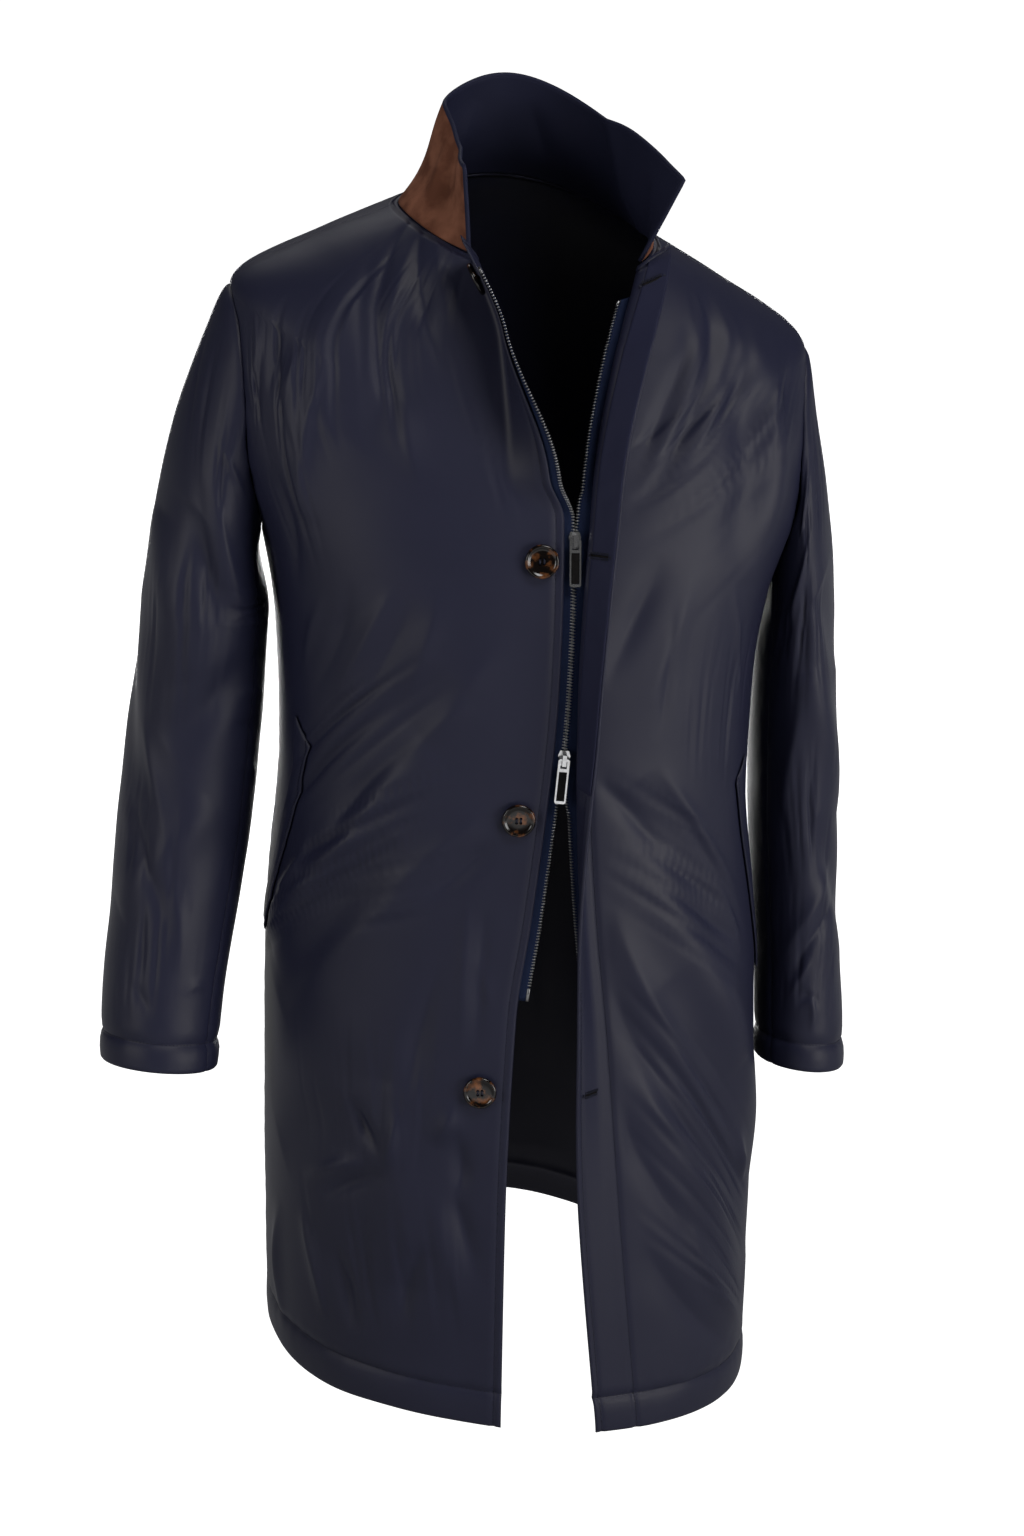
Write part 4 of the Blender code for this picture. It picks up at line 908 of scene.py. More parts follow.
# %% Cloth finishes
WAVE_BAND = 0.314  # size of one band of a wave texture whose scale is 1
WARM, PLAIN = (1.0, 0.96, 0.84), (1.0, 1.0, 1.0)
COLOUR_PATCH = 0.06
COLOUR_DETAIL = 4
Weave = namedtuple("Weave", "name colour shade roughness gloss pitch depth specular")
WEAVES = (
    Weave("navy_shell", (0.0092, 0.0102, 0.0258), (0.0120, 0.0130, 0.0306), 0.50, WARM, 0.0006, 0.10, 0.24),
    Weave("navy_collar", (0.0112, 0.0122, 0.027), (0.014, 0.015, 0.032), 0.60, PLAIN, 0.0006, 0.10, 0.08),
    Weave("navy_facing", (0.0118, 0.0124, 0.0285), (0.0146, 0.0156, 0.0345), 0.6, PLAIN, 0.0006, 0.10, 0.08),
    Weave("zip_tape_blue", (0.0052, 0.0105, 0.034), (0.0072, 0.0135, 0.041), 0.75, PLAIN, 0.0011, 0.5, 0.15),
    Weave("thread_navy", (0.0075, 0.008, 0.015), (0.011, 0.0115, 0.021), 0.60, PLAIN, 0.0003, 0.20, 0.15),
)


def mottled(finish, place, scale, detail):
    """A cloudy noise, as a value for other nodes."""
    made = finish.node_tree.nodes.new("ShaderNodeTexNoise")
    made.inputs["Scale"].default_value = scale
    made.inputs["Detail"].default_value = detail
    finish.node_tree.links.new(place, made.inputs["Vector"])
    return made.outputs["Fac"]


def raised(finish, height, strength, distance):
    """Let a value stand up from the surface."""
    links = finish.node_tree.links
    bump = finish.node_tree.nodes.new("ShaderNodeBump")
    bump.inputs["Strength"].default_value = strength
    bump.inputs["Distance"].default_value = distance
    links.new(height, bump.inputs["Height"])
    links.new(bump.outputs["Normal"], shader_of(finish).inputs["Normal"])


def woven(spec):
    finish = bpy.data.materials.new(spec.name)
    shader = shader_of(finish)
    nodes, links = finish.node_tree.nodes, finish.node_tree.links
    place = nodes.new("ShaderNodeTexCoord").outputs["UV"]
    threads = nodes.new("ShaderNodeMath")
    threads.operation = "MAXIMUM"
    for socket, way in zip(threads.inputs, ("X", "Y")):
        wave = nodes.new("ShaderNodeTexWave")
        wave.bands_direction = way
        wave.inputs["Scale"].default_value = WAVE_BAND / spec.pitch
        links.new(place, wave.inputs["Vector"])
        links.new(wave.outputs["Fac"], socket)
    raised(finish, threads.outputs["Value"], spec.depth, spec.pitch / 2)
    blend = nodes.new("ShaderNodeMix")
    blend.data_type = "RGBA"
    links.new(mottled(finish, place, 1 / COLOUR_PATCH, COLOUR_DETAIL), blend.inputs["Factor"])
    blend.inputs["A"].default_value = (*spec.colour, 1)
    blend.inputs["B"].default_value = (*spec.shade, 1)
    links.new(blend.outputs["Result"], shader.inputs["Base Color"])
    shader.inputs["Roughness"].default_value = spec.roughness
    shader.inputs["Specular Tint"].default_value = (*spec.gloss, 1)
    shader.inputs["Specular IOR Level"].default_value = spec.specular
    return finish


SHELL, TOP_CLOTH, INNER_CLOTH, TAPE, THREAD = [woven(spec) for spec in WEAVES]
print("woven finishes:", [spec.name for spec in WEAVES])

# %% [markdown]
# Suede has no threads. It is a short nap with soft patches where it was brushed one way or the other, so
# its colour wanders and its surface is a fine grain. Metal and horn need only a few nodes.

# %% Suede, metal and horn
EVEN, SPOTS = (0.38, 0.66), (0.49, 0.76)  # where on the noise the dark and the light colour are
GRAIN_DETAIL = 5
GRAIN_HEIGHT = 0.0005
Grain = namedtuple("Grain", "name dark light band patch fine depth roughness metallic specular")
GRAINS = (
    Grain("brown_nap", (0.094, 0.036, 0.0215), (0.2, 0.084, 0.051), EVEN, 45, 1400, 0.5, 0.95, 0, 0.05),
    Grain("polished_silver", (0.66, 0.66, 0.67), (0.78, 0.78, 0.79), EVEN, 300, 2500, 0.03, 0.24, 1, 0.5),
    Grain("tooth_metal", (0.15, 0.15, 0.155), (0.24, 0.24, 0.245), EVEN, 300, 2500, 0.03, 0.36, 1, 0.5),
    # The near-black leather is real on the pull inlays, and also serves as painted shade in the buttonhole
    # slits.
    Grain("dark_leather_and_slit_shade", (0.003, 0.0025, 0.0025), (0.006, 0.005, 0.005), EVEN, 400, 1800, 0.3, 0.6, 0, 0.08),
    Grain("tortoise_horn", (0.003, 0.0016, 0.0012), (0.17, 0.06, 0.018), SPOTS, 130, 900, 0.02, 0.16, 0, 0.4),
)


def grained(spec):
    finish = bpy.data.materials.new(spec.name)
    shader = shader_of(finish)
    nodes, links = finish.node_tree.nodes, finish.node_tree.links
    place = nodes.new("ShaderNodeTexCoord").outputs["Object"]
    ramp = nodes.new("ShaderNodeValToRGB")
    for element, position, colour in zip(ramp.color_ramp.elements, spec.band, (spec.dark, spec.light)):
        element.position = position
        element.color = (*colour, 1)
    links.new(mottled(finish, place, spec.patch, GRAIN_DETAIL), ramp.inputs["Fac"])
    links.new(ramp.outputs["Color"], shader.inputs["Base Color"])
    raised(finish, mottled(finish, place, spec.fine, GRAIN_DETAIL), spec.depth, GRAIN_HEIGHT)
    shader.inputs["Roughness"].default_value = spec.roughness
    shader.inputs["Metallic"].default_value = spec.metallic
    shader.inputs["Specular IOR Level"].default_value = spec.specular
    return finish


SUEDE, SILVER, TOOTH, LEATHER_AND_SLIT_SHADE, HORN = [grained(spec) for spec in GRAINS]
print("other finishes:", [spec.name for spec in GRAINS])

# %% [markdown]
# One maker for all cloth. It takes a grid of points for the outside, gives the cloth its thickness on the
# inside, and rounds the border by pinching both faces together there. Each piece rides on the coat and
# stands for its solid. The flat size of its cut is measured along its own rows and columns, and printed.

# %% Cloth maker
WALL = 0.003
PINCH = 0.30
CUT_SPARE = 1.02  # the cut is a little larger than the longest row and column
CUT_DIGITS = 4


def grid_normals(grid):
    return unit(np.cross(np.gradient(grid, axis=1), np.gradient(grid, axis=0)))


def run_of(grid, axis):
    """Distance along each row (axis 1) or column (axis 0) from where it starts."""
    steps = np.linalg.norm(np.diff(grid, axis=axis), axis=-1)
    start = np.zeros_like(np.take(steps, [0], axis=axis))
    return np.concatenate([start, np.cumsum(steps, axis=axis)], axis)


def put(name, mesh, finish, body="coat", stands_for=None):
    made = bpy.data.objects.new(name, mesh)
    bpy.context.scene.collection.objects.link(made)
    mesh.materials.clear()
    mesh.materials.append(finish)
    mesh.shade_smooth()
    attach(made, body)
    if stands_for:
        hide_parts(stands_for)
    return made


def shell_mesh(name, outer, inner, across, along):
    rows, columns = outer.shape[:2]
    border = np.zeros((rows, columns, 1))
    border[[0, -1]] = PINCH
    border[:, [0, -1]] = PINCH
    pinched = outer + (inner - outer) * border, inner + (outer - inner) * border
    points = np.concatenate([side.reshape(-1, 3) for side in pinched])
    index = np.arange(rows * columns).reshape(rows, columns)
    below = rows * columns
    a, b = index[:-1, :-1].ravel(), index[:-1, 1:].ravel()
    c, d = index[1:, 1:].ravel(), index[1:, :-1].ravel()
    rim = np.concatenate([index[0], index[1:, -1], index[-1, -2::-1], index[-2:0:-1, 0]])
    after = np.roll(rim, -1)
    quads = [np.stack([a, b, c, d], 1), np.stack([a, d, c, b], 1) + below]
    quads.append(np.stack([after, rim, rim + below, after + below], 1))
    faces = np.concatenate(quads)
    outward = np.cross(outer[1:, 1:] - outer[:-1, :-1], outer[1:, :-1] - outer[:-1, 1:])
    if np.sum(outward * (outer - inner)[:-1, :-1]) < 0:
        faces = faces[:, [0, 3, 2, 1]]
    mesh = bpy.data.meshes.new(name)
    mesh.from_pydata(points.tolist(), [], faces.tolist())
    place = np.tile(np.stack([across.ravel(), along.ravel()], 1), (2, 1))
    layer = mesh.uv_layers.new(name="cloth")
    layer.data.foreach_set("uv", place[faces.ravel()].astype(np.float32).ravel())
    return mesh


def cloth(node, outer, normals, thickness, finish, across=None, along=None):
    """A shell that stands for a node, with its cut measured and printed."""
    wide, tall = run_of(outer, 1), run_of(outer, 0)
    if across is None:
        across, along = wide, tall
    mesh = shell_mesh(node + "_cloth", outer, outer - normals * thickness, across, along)
    made = put(node + "_cloth", mesh, finish, stands_for=node)
    spread = np.cross(outer[1:, 1:] - outer[:-1, :-1], outer[1:, :-1] - outer[:-1, 1:])
    area = float(np.linalg.norm(spread, axis=-1).sum() / 2)
    width, length = float(wide.max()) * CUT_SPARE, float(tall.max()) * CUT_SPARE
    flat, area = (round(width, CUT_DIGITS), round(length, CUT_DIGITS)), round(area, CUT_DIGITS)
    print(node, "cut", round(width, 3), "by", round(length, 3), "area", round(area, 3))


print("wall:", WALL)

# %% [markdown]
# Sewn seams pull the cloth in, and it puckers beside them. A seam is a narrow sink along a piece's
# border, and a stitched line inside a piece is a shallow groove. Fine, uneven ripples over all the cloth
# keep it from looking like moulded plastic.

# %% Seams and ripples
SEAM_SINK = 0.0010
ARMHOLE_SINK = 0.2  # the seams of armhole and shoulder hardly pull in
SEAM_WIDTH = 0.0032
GROOVE = 0.0010
GROOVE_WIDTH = 0.0019
TURN_UP_VALLEY = 0.0018
TURN_UP_WIDTH = 0.0030
TURN_UP_PUFF = 0.0010
RIPPLE = 0.0006
RIPPLE_SIZE = 0.045
PUCKER = 0.0007
PUCKER_SIZE = 0.012
PUCKER_REACH = 0.014


def sink(distance):
    return -SEAM_SINK * np.exp(-((distance / SEAM_WIDTH) ** 2))


def groove(distance):
    return -GROOVE * np.exp(-((distance / GROOVE_WIDTH) ** 2))


def turn_up(from_edge, wide):
    """A turned-up edge: puffed between its fold and its stitches, with a deep line along them."""
    share = np.clip(from_edge / wide, 0, 1)
    valley = -TURN_UP_VALLEY * np.exp(-(((from_edge - wide) / TURN_UP_WIDTH) ** 2))
    return valley + TURN_UP_PUFF * np.sin(np.pi * share) ** FOLD_END_POWER


def noise_over(points, size):
    flat = points.reshape(-1, 3) / size
    return np.array([noise.noise(spot) for spot in flat.tolist()]).reshape(points.shape[:2])


def ripples(points, sewn_distance):
    """Fine ripples, stronger beside what is sewn."""
    beside = np.exp(-np.abs(sewn_distance) / PUCKER_REACH)
    return RIPPLE * noise_over(points, RIPPLE_SIZE) + PUCKER * beside * noise_over(points, PUCKER_SIZE)


print("seam sink:", SEAM_SINK)

# %% [markdown]
# Rows of the body's grids run from hem to neck. They are close together at the hem, where the cloth is
# folded up and sewn, and follow the armhole's own steps beside it. One row lies on the hem's stitches.

# %% Rows of the body
HEM_STITCH = 0.033
HEM_ROWS = (0.0, 0.0015, 0.004, 0.010, 0.018, 0.026, 0.0305, 0.0318, HEM_STITCH, 0.0342, 0.0355, 0.040)
NECK_ROWS = (0.9965, 0.9985, 1.0)
ROWS_BELOW_ARM = 160
ROWS_BESIDE_ARM = 50
ROW_SPACE = 0.0016  # rows closer than this to the armhole's top or bottom are left out
ROWS_OVER_ARM = 36
beside_arm = armhole_level(np.linspace(np.pi, 0, ROWS_BESIDE_ARM + 1))
apart = (beside_arm > UNDERARM_LEVEL + ROW_SPACE) & (beside_arm < SHOULDER_LEVEL - ROW_SPACE)
beside_arm = np.concatenate([[UNDERARM_LEVEL], beside_arm[apart], [SHOULDER_LEVEL]])
below_arm = np.linspace(HEM_ROWS[-1], UNDERARM_LEVEL, ROWS_BELOW_ARM + 1)[1:-1]
over_arm = np.linspace(SHOULDER_LEVEL, 1.0, ROWS_OVER_ARM + 1)[1:]
LEVELS = np.concatenate([HEM_ROWS, below_arm, beside_arm, over_arm[:-1], NECK_ROWS])
HEM_ROW = HEM_ROWS.index(HEM_STITCH)
EDGE_SHARES = np.array([0, 0.004, 0.009, 0.016])
EDGE_TO_PANEL = 0.026  # from here on the columns are evenly spaced
FRONT_COLUMNS = 135
ARMHOLE_EASE = 2.5  # columns near the armhole bend round it, and those further off hardly do
HEM_WAVE = 0.0045  # the hem is this much higher or lower from place to place
HEM_WAVE_SIZE = 0.11
HEM_WAVE_REACH = 0.10


def eased(value, low, high):
    share = np.clip((value - low) / (high - low), 0, 1)
    return share * share * (3 - 2 * share)


def between_seams(ends, margin, count):
    """Shares from one seam to the other, closer together beside both."""
    return np.concatenate([ends, np.linspace(margin, 1 - margin, count), 1 - ends[::-1]])


def uneven_hem(points, levels):
    """The same points with the hem's edge a little higher and lower from place to place."""
    share = 1 - eased(levels, 0, HEM_WAVE_REACH)
    rise = HEM_WAVE * share * noise_over(points, HEM_WAVE_SIZE)
    return points + np.array([0, 0, 1]) * rise[..., None]


def sewn_edges(base, levels, seam_off):
    """How far seams and hem lift a piece of the body, and the distance to the nearest of them."""
    rise = run_of(base, 0)
    neck_off, hem_off = rise[-1] - rise, rise - rise[HEM_ROW]
    pull = np.where(levels > UNDERARM_LEVEL, ARMHOLE_SINK, 1)
    lift = sink(seam_off) * pull + sink(neck_off) + turn_up(rise, rise[HEM_ROW])
    return lift, np.minimum(np.minimum(seam_off, np.abs(hem_off)), neck_off)


print("rows from hem to neck:", len(LEVELS))

# %% [markdown]
# A front is cut in one from its side seam to its edge. Creases fade before the sewn edge, round the
# buttons and where the strip is turned out, because there the cloth is double or held.

# %% Fronts
BUTTON_CALM = 0.020
EDGE_CALM = 0.012
ROLL_CALM = 0.015
RIGHT_CALM_TURN = 30  # where the right edge is turned out this far, its strip is calm
RIGHT_EDGE_STITCH = 0.0065
FLY_EDGE_STITCH = 0.0055
ButtonPlace = namedtuple("ButtonPlace", "level from_edge")
BUTTON_PLACES = (
    ButtonPlace(0.980, 0.016),
    ButtonPlace(0.745, 0.018),
    ButtonPlace(0.527, 0.022),
    ButtonPlace(0.307, 0.025),
)
STRIPS = {
    RIGHT: np.array([
        0.0, 0.0015, 0.003, 0.005, 0.0075, 0.010, 0.0125, 0.015, 0.018, 0.021, 0.024, 0.027, 0.030,
        0.0322, 0.0335, 0.0348, 0.0365, 0.0385, RIGHT_STRIP,
    ]),
    LEFT: np.array([
        0.0, 0.0013, 0.0026, 0.0045, 0.0065, 0.0085, 0.0105, 0.0125, 0.014, 0.017, 0.020, 0.023, 0.026,
        0.0287, 0.030, 0.0315, 0.0328, 0.0345, 0.0358, FLY_WIDTH,
    ]),
}


def front(side, node):
    roll = angle_at(roll_x(side, LEVELS), LEVELS)
    plain = side * (seam_angle(LEVELS) + SEAM_TURN)
    hollow = side * (panel_side(LEVELS, True) + SEAM_TURN) - plain
    shares = np.concatenate([EDGE_SHARES, np.linspace(EDGE_TO_PANEL, 1, FRONT_COLUMNS)])[:-1]
    bend = (1 - shares) ** ARMHOLE_EASE
    angles = plain[:, None] + (roll - plain)[:, None] * shares + hollow[:, None] * bend
    levels = np.broadcast_to(LEVELS[:, None], angles.shape)
    past, edge_levels = np.meshgrid(STRIPS[side], LEVELS)
    edge, _, facing = front_edge(side, edge_levels, past)
    base = np.concatenate([body_point(angles, levels), edge], 1)
    all_levels = np.concatenate([levels, edge_levels], 1)
    base = uneven_hem(base, all_levels)
    normals = -side * grid_normals(base)
    normals[:, -past.shape[1] + 1:] = facing[:, 1:]
    body_past = -run_of(base[:, len(shares) - 1::-1], 1)[:, ::-1]
    all_past = np.concatenate([body_past, past], 1)
    across = np.concatenate([angles * BODY_RADIUS, roll[:, None] * BODY_RADIUS - side * past], 1)
    along = all_levels * BODY_RUN
    wide = STRIPS[side][-1]
    calm = 1 - eased(all_past, wide - 2 * EDGE_CALM, wide - EDGE_CALM / 2)
    if side == LEFT:
        calm = calm * (1 - eased(all_past, -ROLL_CALM, 0))
        stitched = np.minimum(np.abs(all_past), np.abs(all_past - wide + FLY_EDGE_STITCH))
    else:
        turned = np.clip(column(FRONT_LINES, "right_turn", all_levels) / RIGHT_CALM_TURN, 0, 1)
        calm = calm * (1 - turned * eased(all_past, -ROLL_CALM, RIGHT_BEND))
        stitched = np.abs(all_past - wide + RIGHT_EDGE_STITCH)
        for spot in BUTTON_PLACES:
            off = np.hypot(all_past - wide + spot.from_edge, along - spot.level * BODY_RUN)
            calm = calm * eased(off, BUTTON_CALM / 2, 2 * BUTTON_CALM)
    sewn, near = sewn_edges(base, all_levels, run_of(base, 1))
    lift = wrinkles(BODY_CREASES, BODY_FANS, across, along, BODY_RADIUS, BODY_RUN) + ripples(base, near)
    lift = lift * calm + sewn + groove(stitched)
    outer = base + normals * lift[..., None]
    cloth(node, outer, normals, WALL, SHELL, across, along)
    return angles, outer, normals, all_past


FRONTS = {RIGHT: front(RIGHT, "front_right"), LEFT: front(LEFT, "front_left")}

# %% [markdown]
# The back is one piece between both side seams. Its creases aren't in sight, so they are like those of
# the fronts: drawn in at the armholes, slack at the waist, and long and soft towards the hem.

# %% Back
BACK_COLUMNS = 120


def back():
    plain = seam_angle(LEVELS) - SEAM_TURN
    hollow = panel_side(LEVELS, False) - SEAM_TURN - plain
    shares = between_seams(EDGE_SHARES, EDGE_TO_PANEL, BACK_COLUMNS)
    bend = (1 - shares) ** ARMHOLE_EASE - shares**ARMHOLE_EASE
    angles = plain[:, None] + (WHOLE_TURN - 2 * plain)[:, None] * shares + hollow[:, None] * bend
    levels = np.broadcast_to(LEVELS[:, None], angles.shape)
    base = uneven_hem(body_point(angles, levels), levels)
    normals = grid_normals(base)
    across, along = angles * BODY_RADIUS, levels * BODY_RUN
    over = run_of(base, 1)
    sewn, near = sewn_edges(base, levels, np.minimum(over, over[:, -1:] - over))
    lift = wrinkles(BODY_CREASES, BODY_FANS, across, along, BODY_RADIUS, BODY_RUN) + ripples(base, near)
    lift = lift + sewn
    outer = base + normals * lift[..., None]
    cloth("back", outer, normals, WALL, SHELL, across, along)
    return angles, outer, normals


BACK = back()

# %% [markdown]
# The facing is the inner face of the fly. It shows only where the fly is turned out, from the neck to the
# lower slider.

# %% Facing
TRIM_WALL = 0.0012
FACING_LEVELS = (0.56, 0.9975)
FACING_ROWS = 90
FACING_STEPS = np.array([0.0142, 0.0150, 0.017, 0.020, 0.023, 0.026, 0.029, 0.032, 0.0345, 0.0360, 0.0366])


def facing_strip():
    rows = np.linspace(*FACING_LEVELS, FACING_ROWS)
    past, levels = np.meshgrid(FACING_STEPS, rows)
    point, _, facing = front_edge(LEFT, levels, past)
    near = point - facing * (WALL + SEAM_GAP)
    far = near - facing * (TRIM_WALL + RIPPLE * noise_over(near, PUCKER_SIZE))[..., None]
    cloth("front_left_facing", far, -facing, TRIM_WALL, INNER_CLOTH)


facing_strip()

# %% [markdown]
# Each sleeve has a wide upper piece and a narrow under piece, joined at the forearm seam and the elbow
# seam, and both are set into the armhole. The cuff is plain, with one row of stitches.

# %% Sleeves
FOREARM_SEAM = math.radians(144)
ELBOW_SEAM = math.radians(216)
SLEEVE_LAP = SEAM_LAP / SLEEVE_RADIUS
CUFF_STITCH = 0.024
CUFF_OFFSETS = (0.034, 0.0266, 0.0253, CUFF_STITCH, 0.0227, 0.0214, 0.016, 0.009, 0.004, 0.0015, 0.0)
CUFF_PART = 0.1  # the arm's scale at the cuff is measured over this last part of it
ROWS_ON_HEAD = 64
ROWS_ON_ARM = 100
SLEEVE_COLUMNS = {"upper": 110, "under": 30}
HEAD_ROWS = np.array([0.0, 0.006, 0.013, 0.022])
HEAD_ROWS_TO = 0.034  # from here on the rows of the head are evenly spaced
EDGE_TO_SLEEVE = 0.03
HEAD_PUFF = 0.0025  # the head of a set-in sleeve stands up a little beside its seam
HEAD_PUFF_AT = 0.012


def sleeve_runs(side):
    last_part = sleeve_ring(side, 0.0, 1 - CUFF_PART) - sleeve_ring(side, 0.0, 1.0)
    arm_length = float(np.linalg.norm(last_part)) / CUFF_PART
    cuff = 2 - np.array(CUFF_OFFSETS) / arm_length
    arm = np.linspace(1, cuff[0], ROWS_ON_ARM)[:-1]
    return np.concatenate([HEAD_ROWS, np.linspace(HEAD_ROWS_TO, 1, ROWS_ON_HEAD)[:-1], arm, cuff])


def sleeve(side, half, first, last):
    word = "left" if side == LEFT else "right"
    runs = sleeve_runs(side)
    shares = between_seams(EDGE_SHARES, EDGE_TO_SLEEVE, SLEEVE_COLUMNS[half])
    turns = first - SLEEVE_LAP + (last - first + 2 * SLEEVE_LAP) * shares
    turn, run = np.meshgrid(turns, runs)
    base = sleeve_point(side, turn, run)
    normals = side * grid_normals(base)
    across, along = turn * SLEEVE_RADIUS, run * SLEEVE_RUN
    down, over = run_of(base, 0), run_of(base, 1)
    seam_off = np.minimum(over, over[:, -1:] - over)
    cuff_row = len(runs) - len(CUFF_OFFSETS) + CUFF_OFFSETS.index(CUFF_STITCH)
    cuff_off = down - down[cuff_row]
    to_edge = down[-1] - down
    lift = wrinkles(SLEEVE_CREASES[side], SLEEVE_FANS[side], across, along, SLEEVE_RADIUS, SLEEVE_RUN)
    lift = lift + sink(seam_off) + sink(down) * ARMHOLE_SINK + turn_up(to_edge, to_edge[cuff_row])
    on_top = ((1 + np.cos(turn)) / 2) ** 2
    lift = lift + HEAD_PUFF * on_top * down / HEAD_PUFF_AT * np.exp(1 - down / HEAD_PUFF_AT)
    lift = lift + ripples(base, np.minimum(np.minimum(seam_off, down), np.abs(cuff_off)))
    outer = base + normals * lift[..., None]
    node = f"sleeve_{word}_{half}"
    cloth(node, outer, normals, WALL, SHELL, across, along)
    return outer[cuff_row], normals[cuff_row]


CUFFS = []
for arm_side in (RIGHT, LEFT):
    CUFFS.append(sleeve(arm_side, "upper", ELBOW_SEAM - WHOLE_TURN, FOREARM_SEAM))
    CUFFS.append(sleeve(arm_side, "under", FOREARM_SEAM, ELBOW_SEAM))

# %% [markdown]
# The collar has two layers. The under collar is suede and faces out while the collar is turned up. The
# top collar is navy cloth and lies against the neck. It is cut a little larger, so its edge rolls over
# and shows as a thin line along the suede.

# %% Collar
COLLAR_WALL = 0.0015
COLLAR_COLUMNS = 200
COLLAR_ENDS = np.array([0, 0.002, 0.005])
COLLAR_MARGIN = 0.01
COLLAR_ROWS = np.linspace(0.05, 0.95, 44)
COLLAR_RISES = np.concatenate([[0, 0.012, 0.03], COLLAR_ROWS, [0.972, 0.988, 1.0]])
COLLAR_FOLDS = (
    Crease(-66, 0.10, -64, 0.50, -62, 0.92, 0.010, 0.0035),
    Crease(-52, 0.05, -54, 0.45, -53, 0.85, 0.008, -0.0030),
    Crease(-300, 0.10, -304, 0.50, -306, 0.90, 0.010, -0.0020),
    Crease(-200, 0.20, -196, 0.50, -190, 0.80, 0.012, 0.0020),
    Crease(-150, 0.20, -146, 0.50, -150, 0.80, 0.012, -0.0020),
)
COLLAR_RADIUS = 0.09
COLLAR_RUN = 0.08
collar_start, collar_end = FRONTS[LEFT][0][-1, -1] - WHOLE_TURN, FRONTS[RIGHT][0][-1, -1]
collar_shares = between_seams(COLLAR_ENDS, COLLAR_MARGIN, COLLAR_COLUMNS)
collar_angles = collar_start + (collar_end - collar_start) * collar_shares


def collar():
    angle, rise = np.meshgrid(collar_angles, COLLAR_RISES)
    base = collar_point(angle, rise)
    normals = normals_of(collar_point, angle, rise)
    lift = crease_lift(COLLAR_FOLDS, angle * COLLAR_RADIUS, rise * COLLAR_RUN, COLLAR_RADIUS, COLLAR_RUN)
    lift = lift + RIPPLE * noise_over(base, RIPPLE_SIZE) + sink(run_of(base, 0)) / 2
    face = base + normals * lift[..., None]
    cloth("under_collar", face, normals, COLLAR_WALL, SUEDE)
    inside = face - normals * (2 * COLLAR_WALL + SEAM_GAP)
    cloth("top_collar", inside, -normals, COLLAR_WALL, TOP_CLOTH)
    return face, normals


COLLAR = collar()

# %% [markdown]
# Small round things that run along a line are all tubes: piping, thread, cord. A tube is a ring of
# points, carried along the line and turned with it.

# %% Tubes and beads
TUBE_SIDES = 8


def sweep(points, normals, width, height, sides=TUBE_SIDES, taper=None):
    """Rings round a line: width lies along the cloth, height stands off it."""
    ahead = unit(np.gradient(points, axis=0))
    beside = unit(np.cross(ahead, normals))
    over = np.cross(beside, ahead)
    turns = WHOLE_TURN * np.arange(sides) / sides
    size = np.ones(len(points)) if taper is None else taper
    ring = np.cos(turns)[None, :, None] * beside[:, None] * width
    ring = ring + np.sin(turns)[None, :, None] * over[:, None] * height
    grid = points[:, None] + ring * size[:, None, None]
    rows = len(points)
    index = np.arange(rows * sides).reshape(rows, sides)
    after = np.roll(index, -1, 1)
    quads = np.stack([index[:-1], after[:-1], after[1:], index[1:]], -1).reshape(-1, 4).tolist()
    return grid.reshape(-1, 3), quads + [index[0, ::-1].tolist(), index[-1].tolist()]


def mesh_of(name, shapes):
    """One mesh from many pairs of points and faces."""
    points, faces, count = [], [], 0
    for spots, sides in shapes:
        points.extend(np.asarray(spots).tolist())
        faces.extend([[corner + count for corner in side] for side in sides])
        count += len(spots)
    mesh = bpy.data.meshes.new(name)
    mesh.from_pydata(points, [], faces)
    repaired = bmesh.new()
    repaired.from_mesh(mesh)
    bmesh.ops.recalc_face_normals(repaired, faces=repaired.faces)
    repaired.to_mesh(mesh)
    repaired.free()
    return mesh


def put_shapes(name, shapes, finish):
    put(name, mesh_of(name, shapes), finish)


def read_off(at, knots, rows):
    """Points of a line at places along it, between the places that its own points have."""
    return np.stack([np.interp(at, knots, part) for part in rows.T], -1)


def run_along(points):
    return np.concatenate([[0], np.cumsum(np.linalg.norm(np.diff(points, axis=0), axis=1))])


def spaced(points, normals, pitch):
    """The same line with its points a fixed distance apart."""
    run = run_along(points)
    count = max(int(run[-1] / pitch), 1)
    at = np.linspace(0, run[-1], count + 1)
    return read_off(at, run, points), unit(read_off(at, run, normals))


print("tube sides:", TUBE_SIDES)

# %% [markdown]
# The rolled edge of the top collar runs round the suede from the front edge on the right, along the top,
# to the front edge on the left.

# %% Rolled collar edge
EDGE_WIDTH = 0.0022
EDGE_HEIGHT = 0.0017
EDGE_PITCH = 0.004


def collar_edge():
    face, normals = COLLAR
    ways = [[grid[1:, -1], grid[-1, -2::-1], grid[-2:0:-1, 0]] for grid in (face, normals)]
    line, facing = [np.concatenate(way) for way in ways]
    line, facing = spaced(line - facing * COLLAR_WALL, facing, EDGE_PITCH)
    put_shapes("collar_edge", [sweep(line, facing, EDGE_WIDTH, EDGE_HEIGHT)], TOP_CLOTH)


collar_edge()
print("rolled edge made")

# %% [markdown]
# A pocket welt is a folded strip over the slanted pocket mouth. It lies on the front's own cloth, creases
# included, so its points are read off the front that was made before.

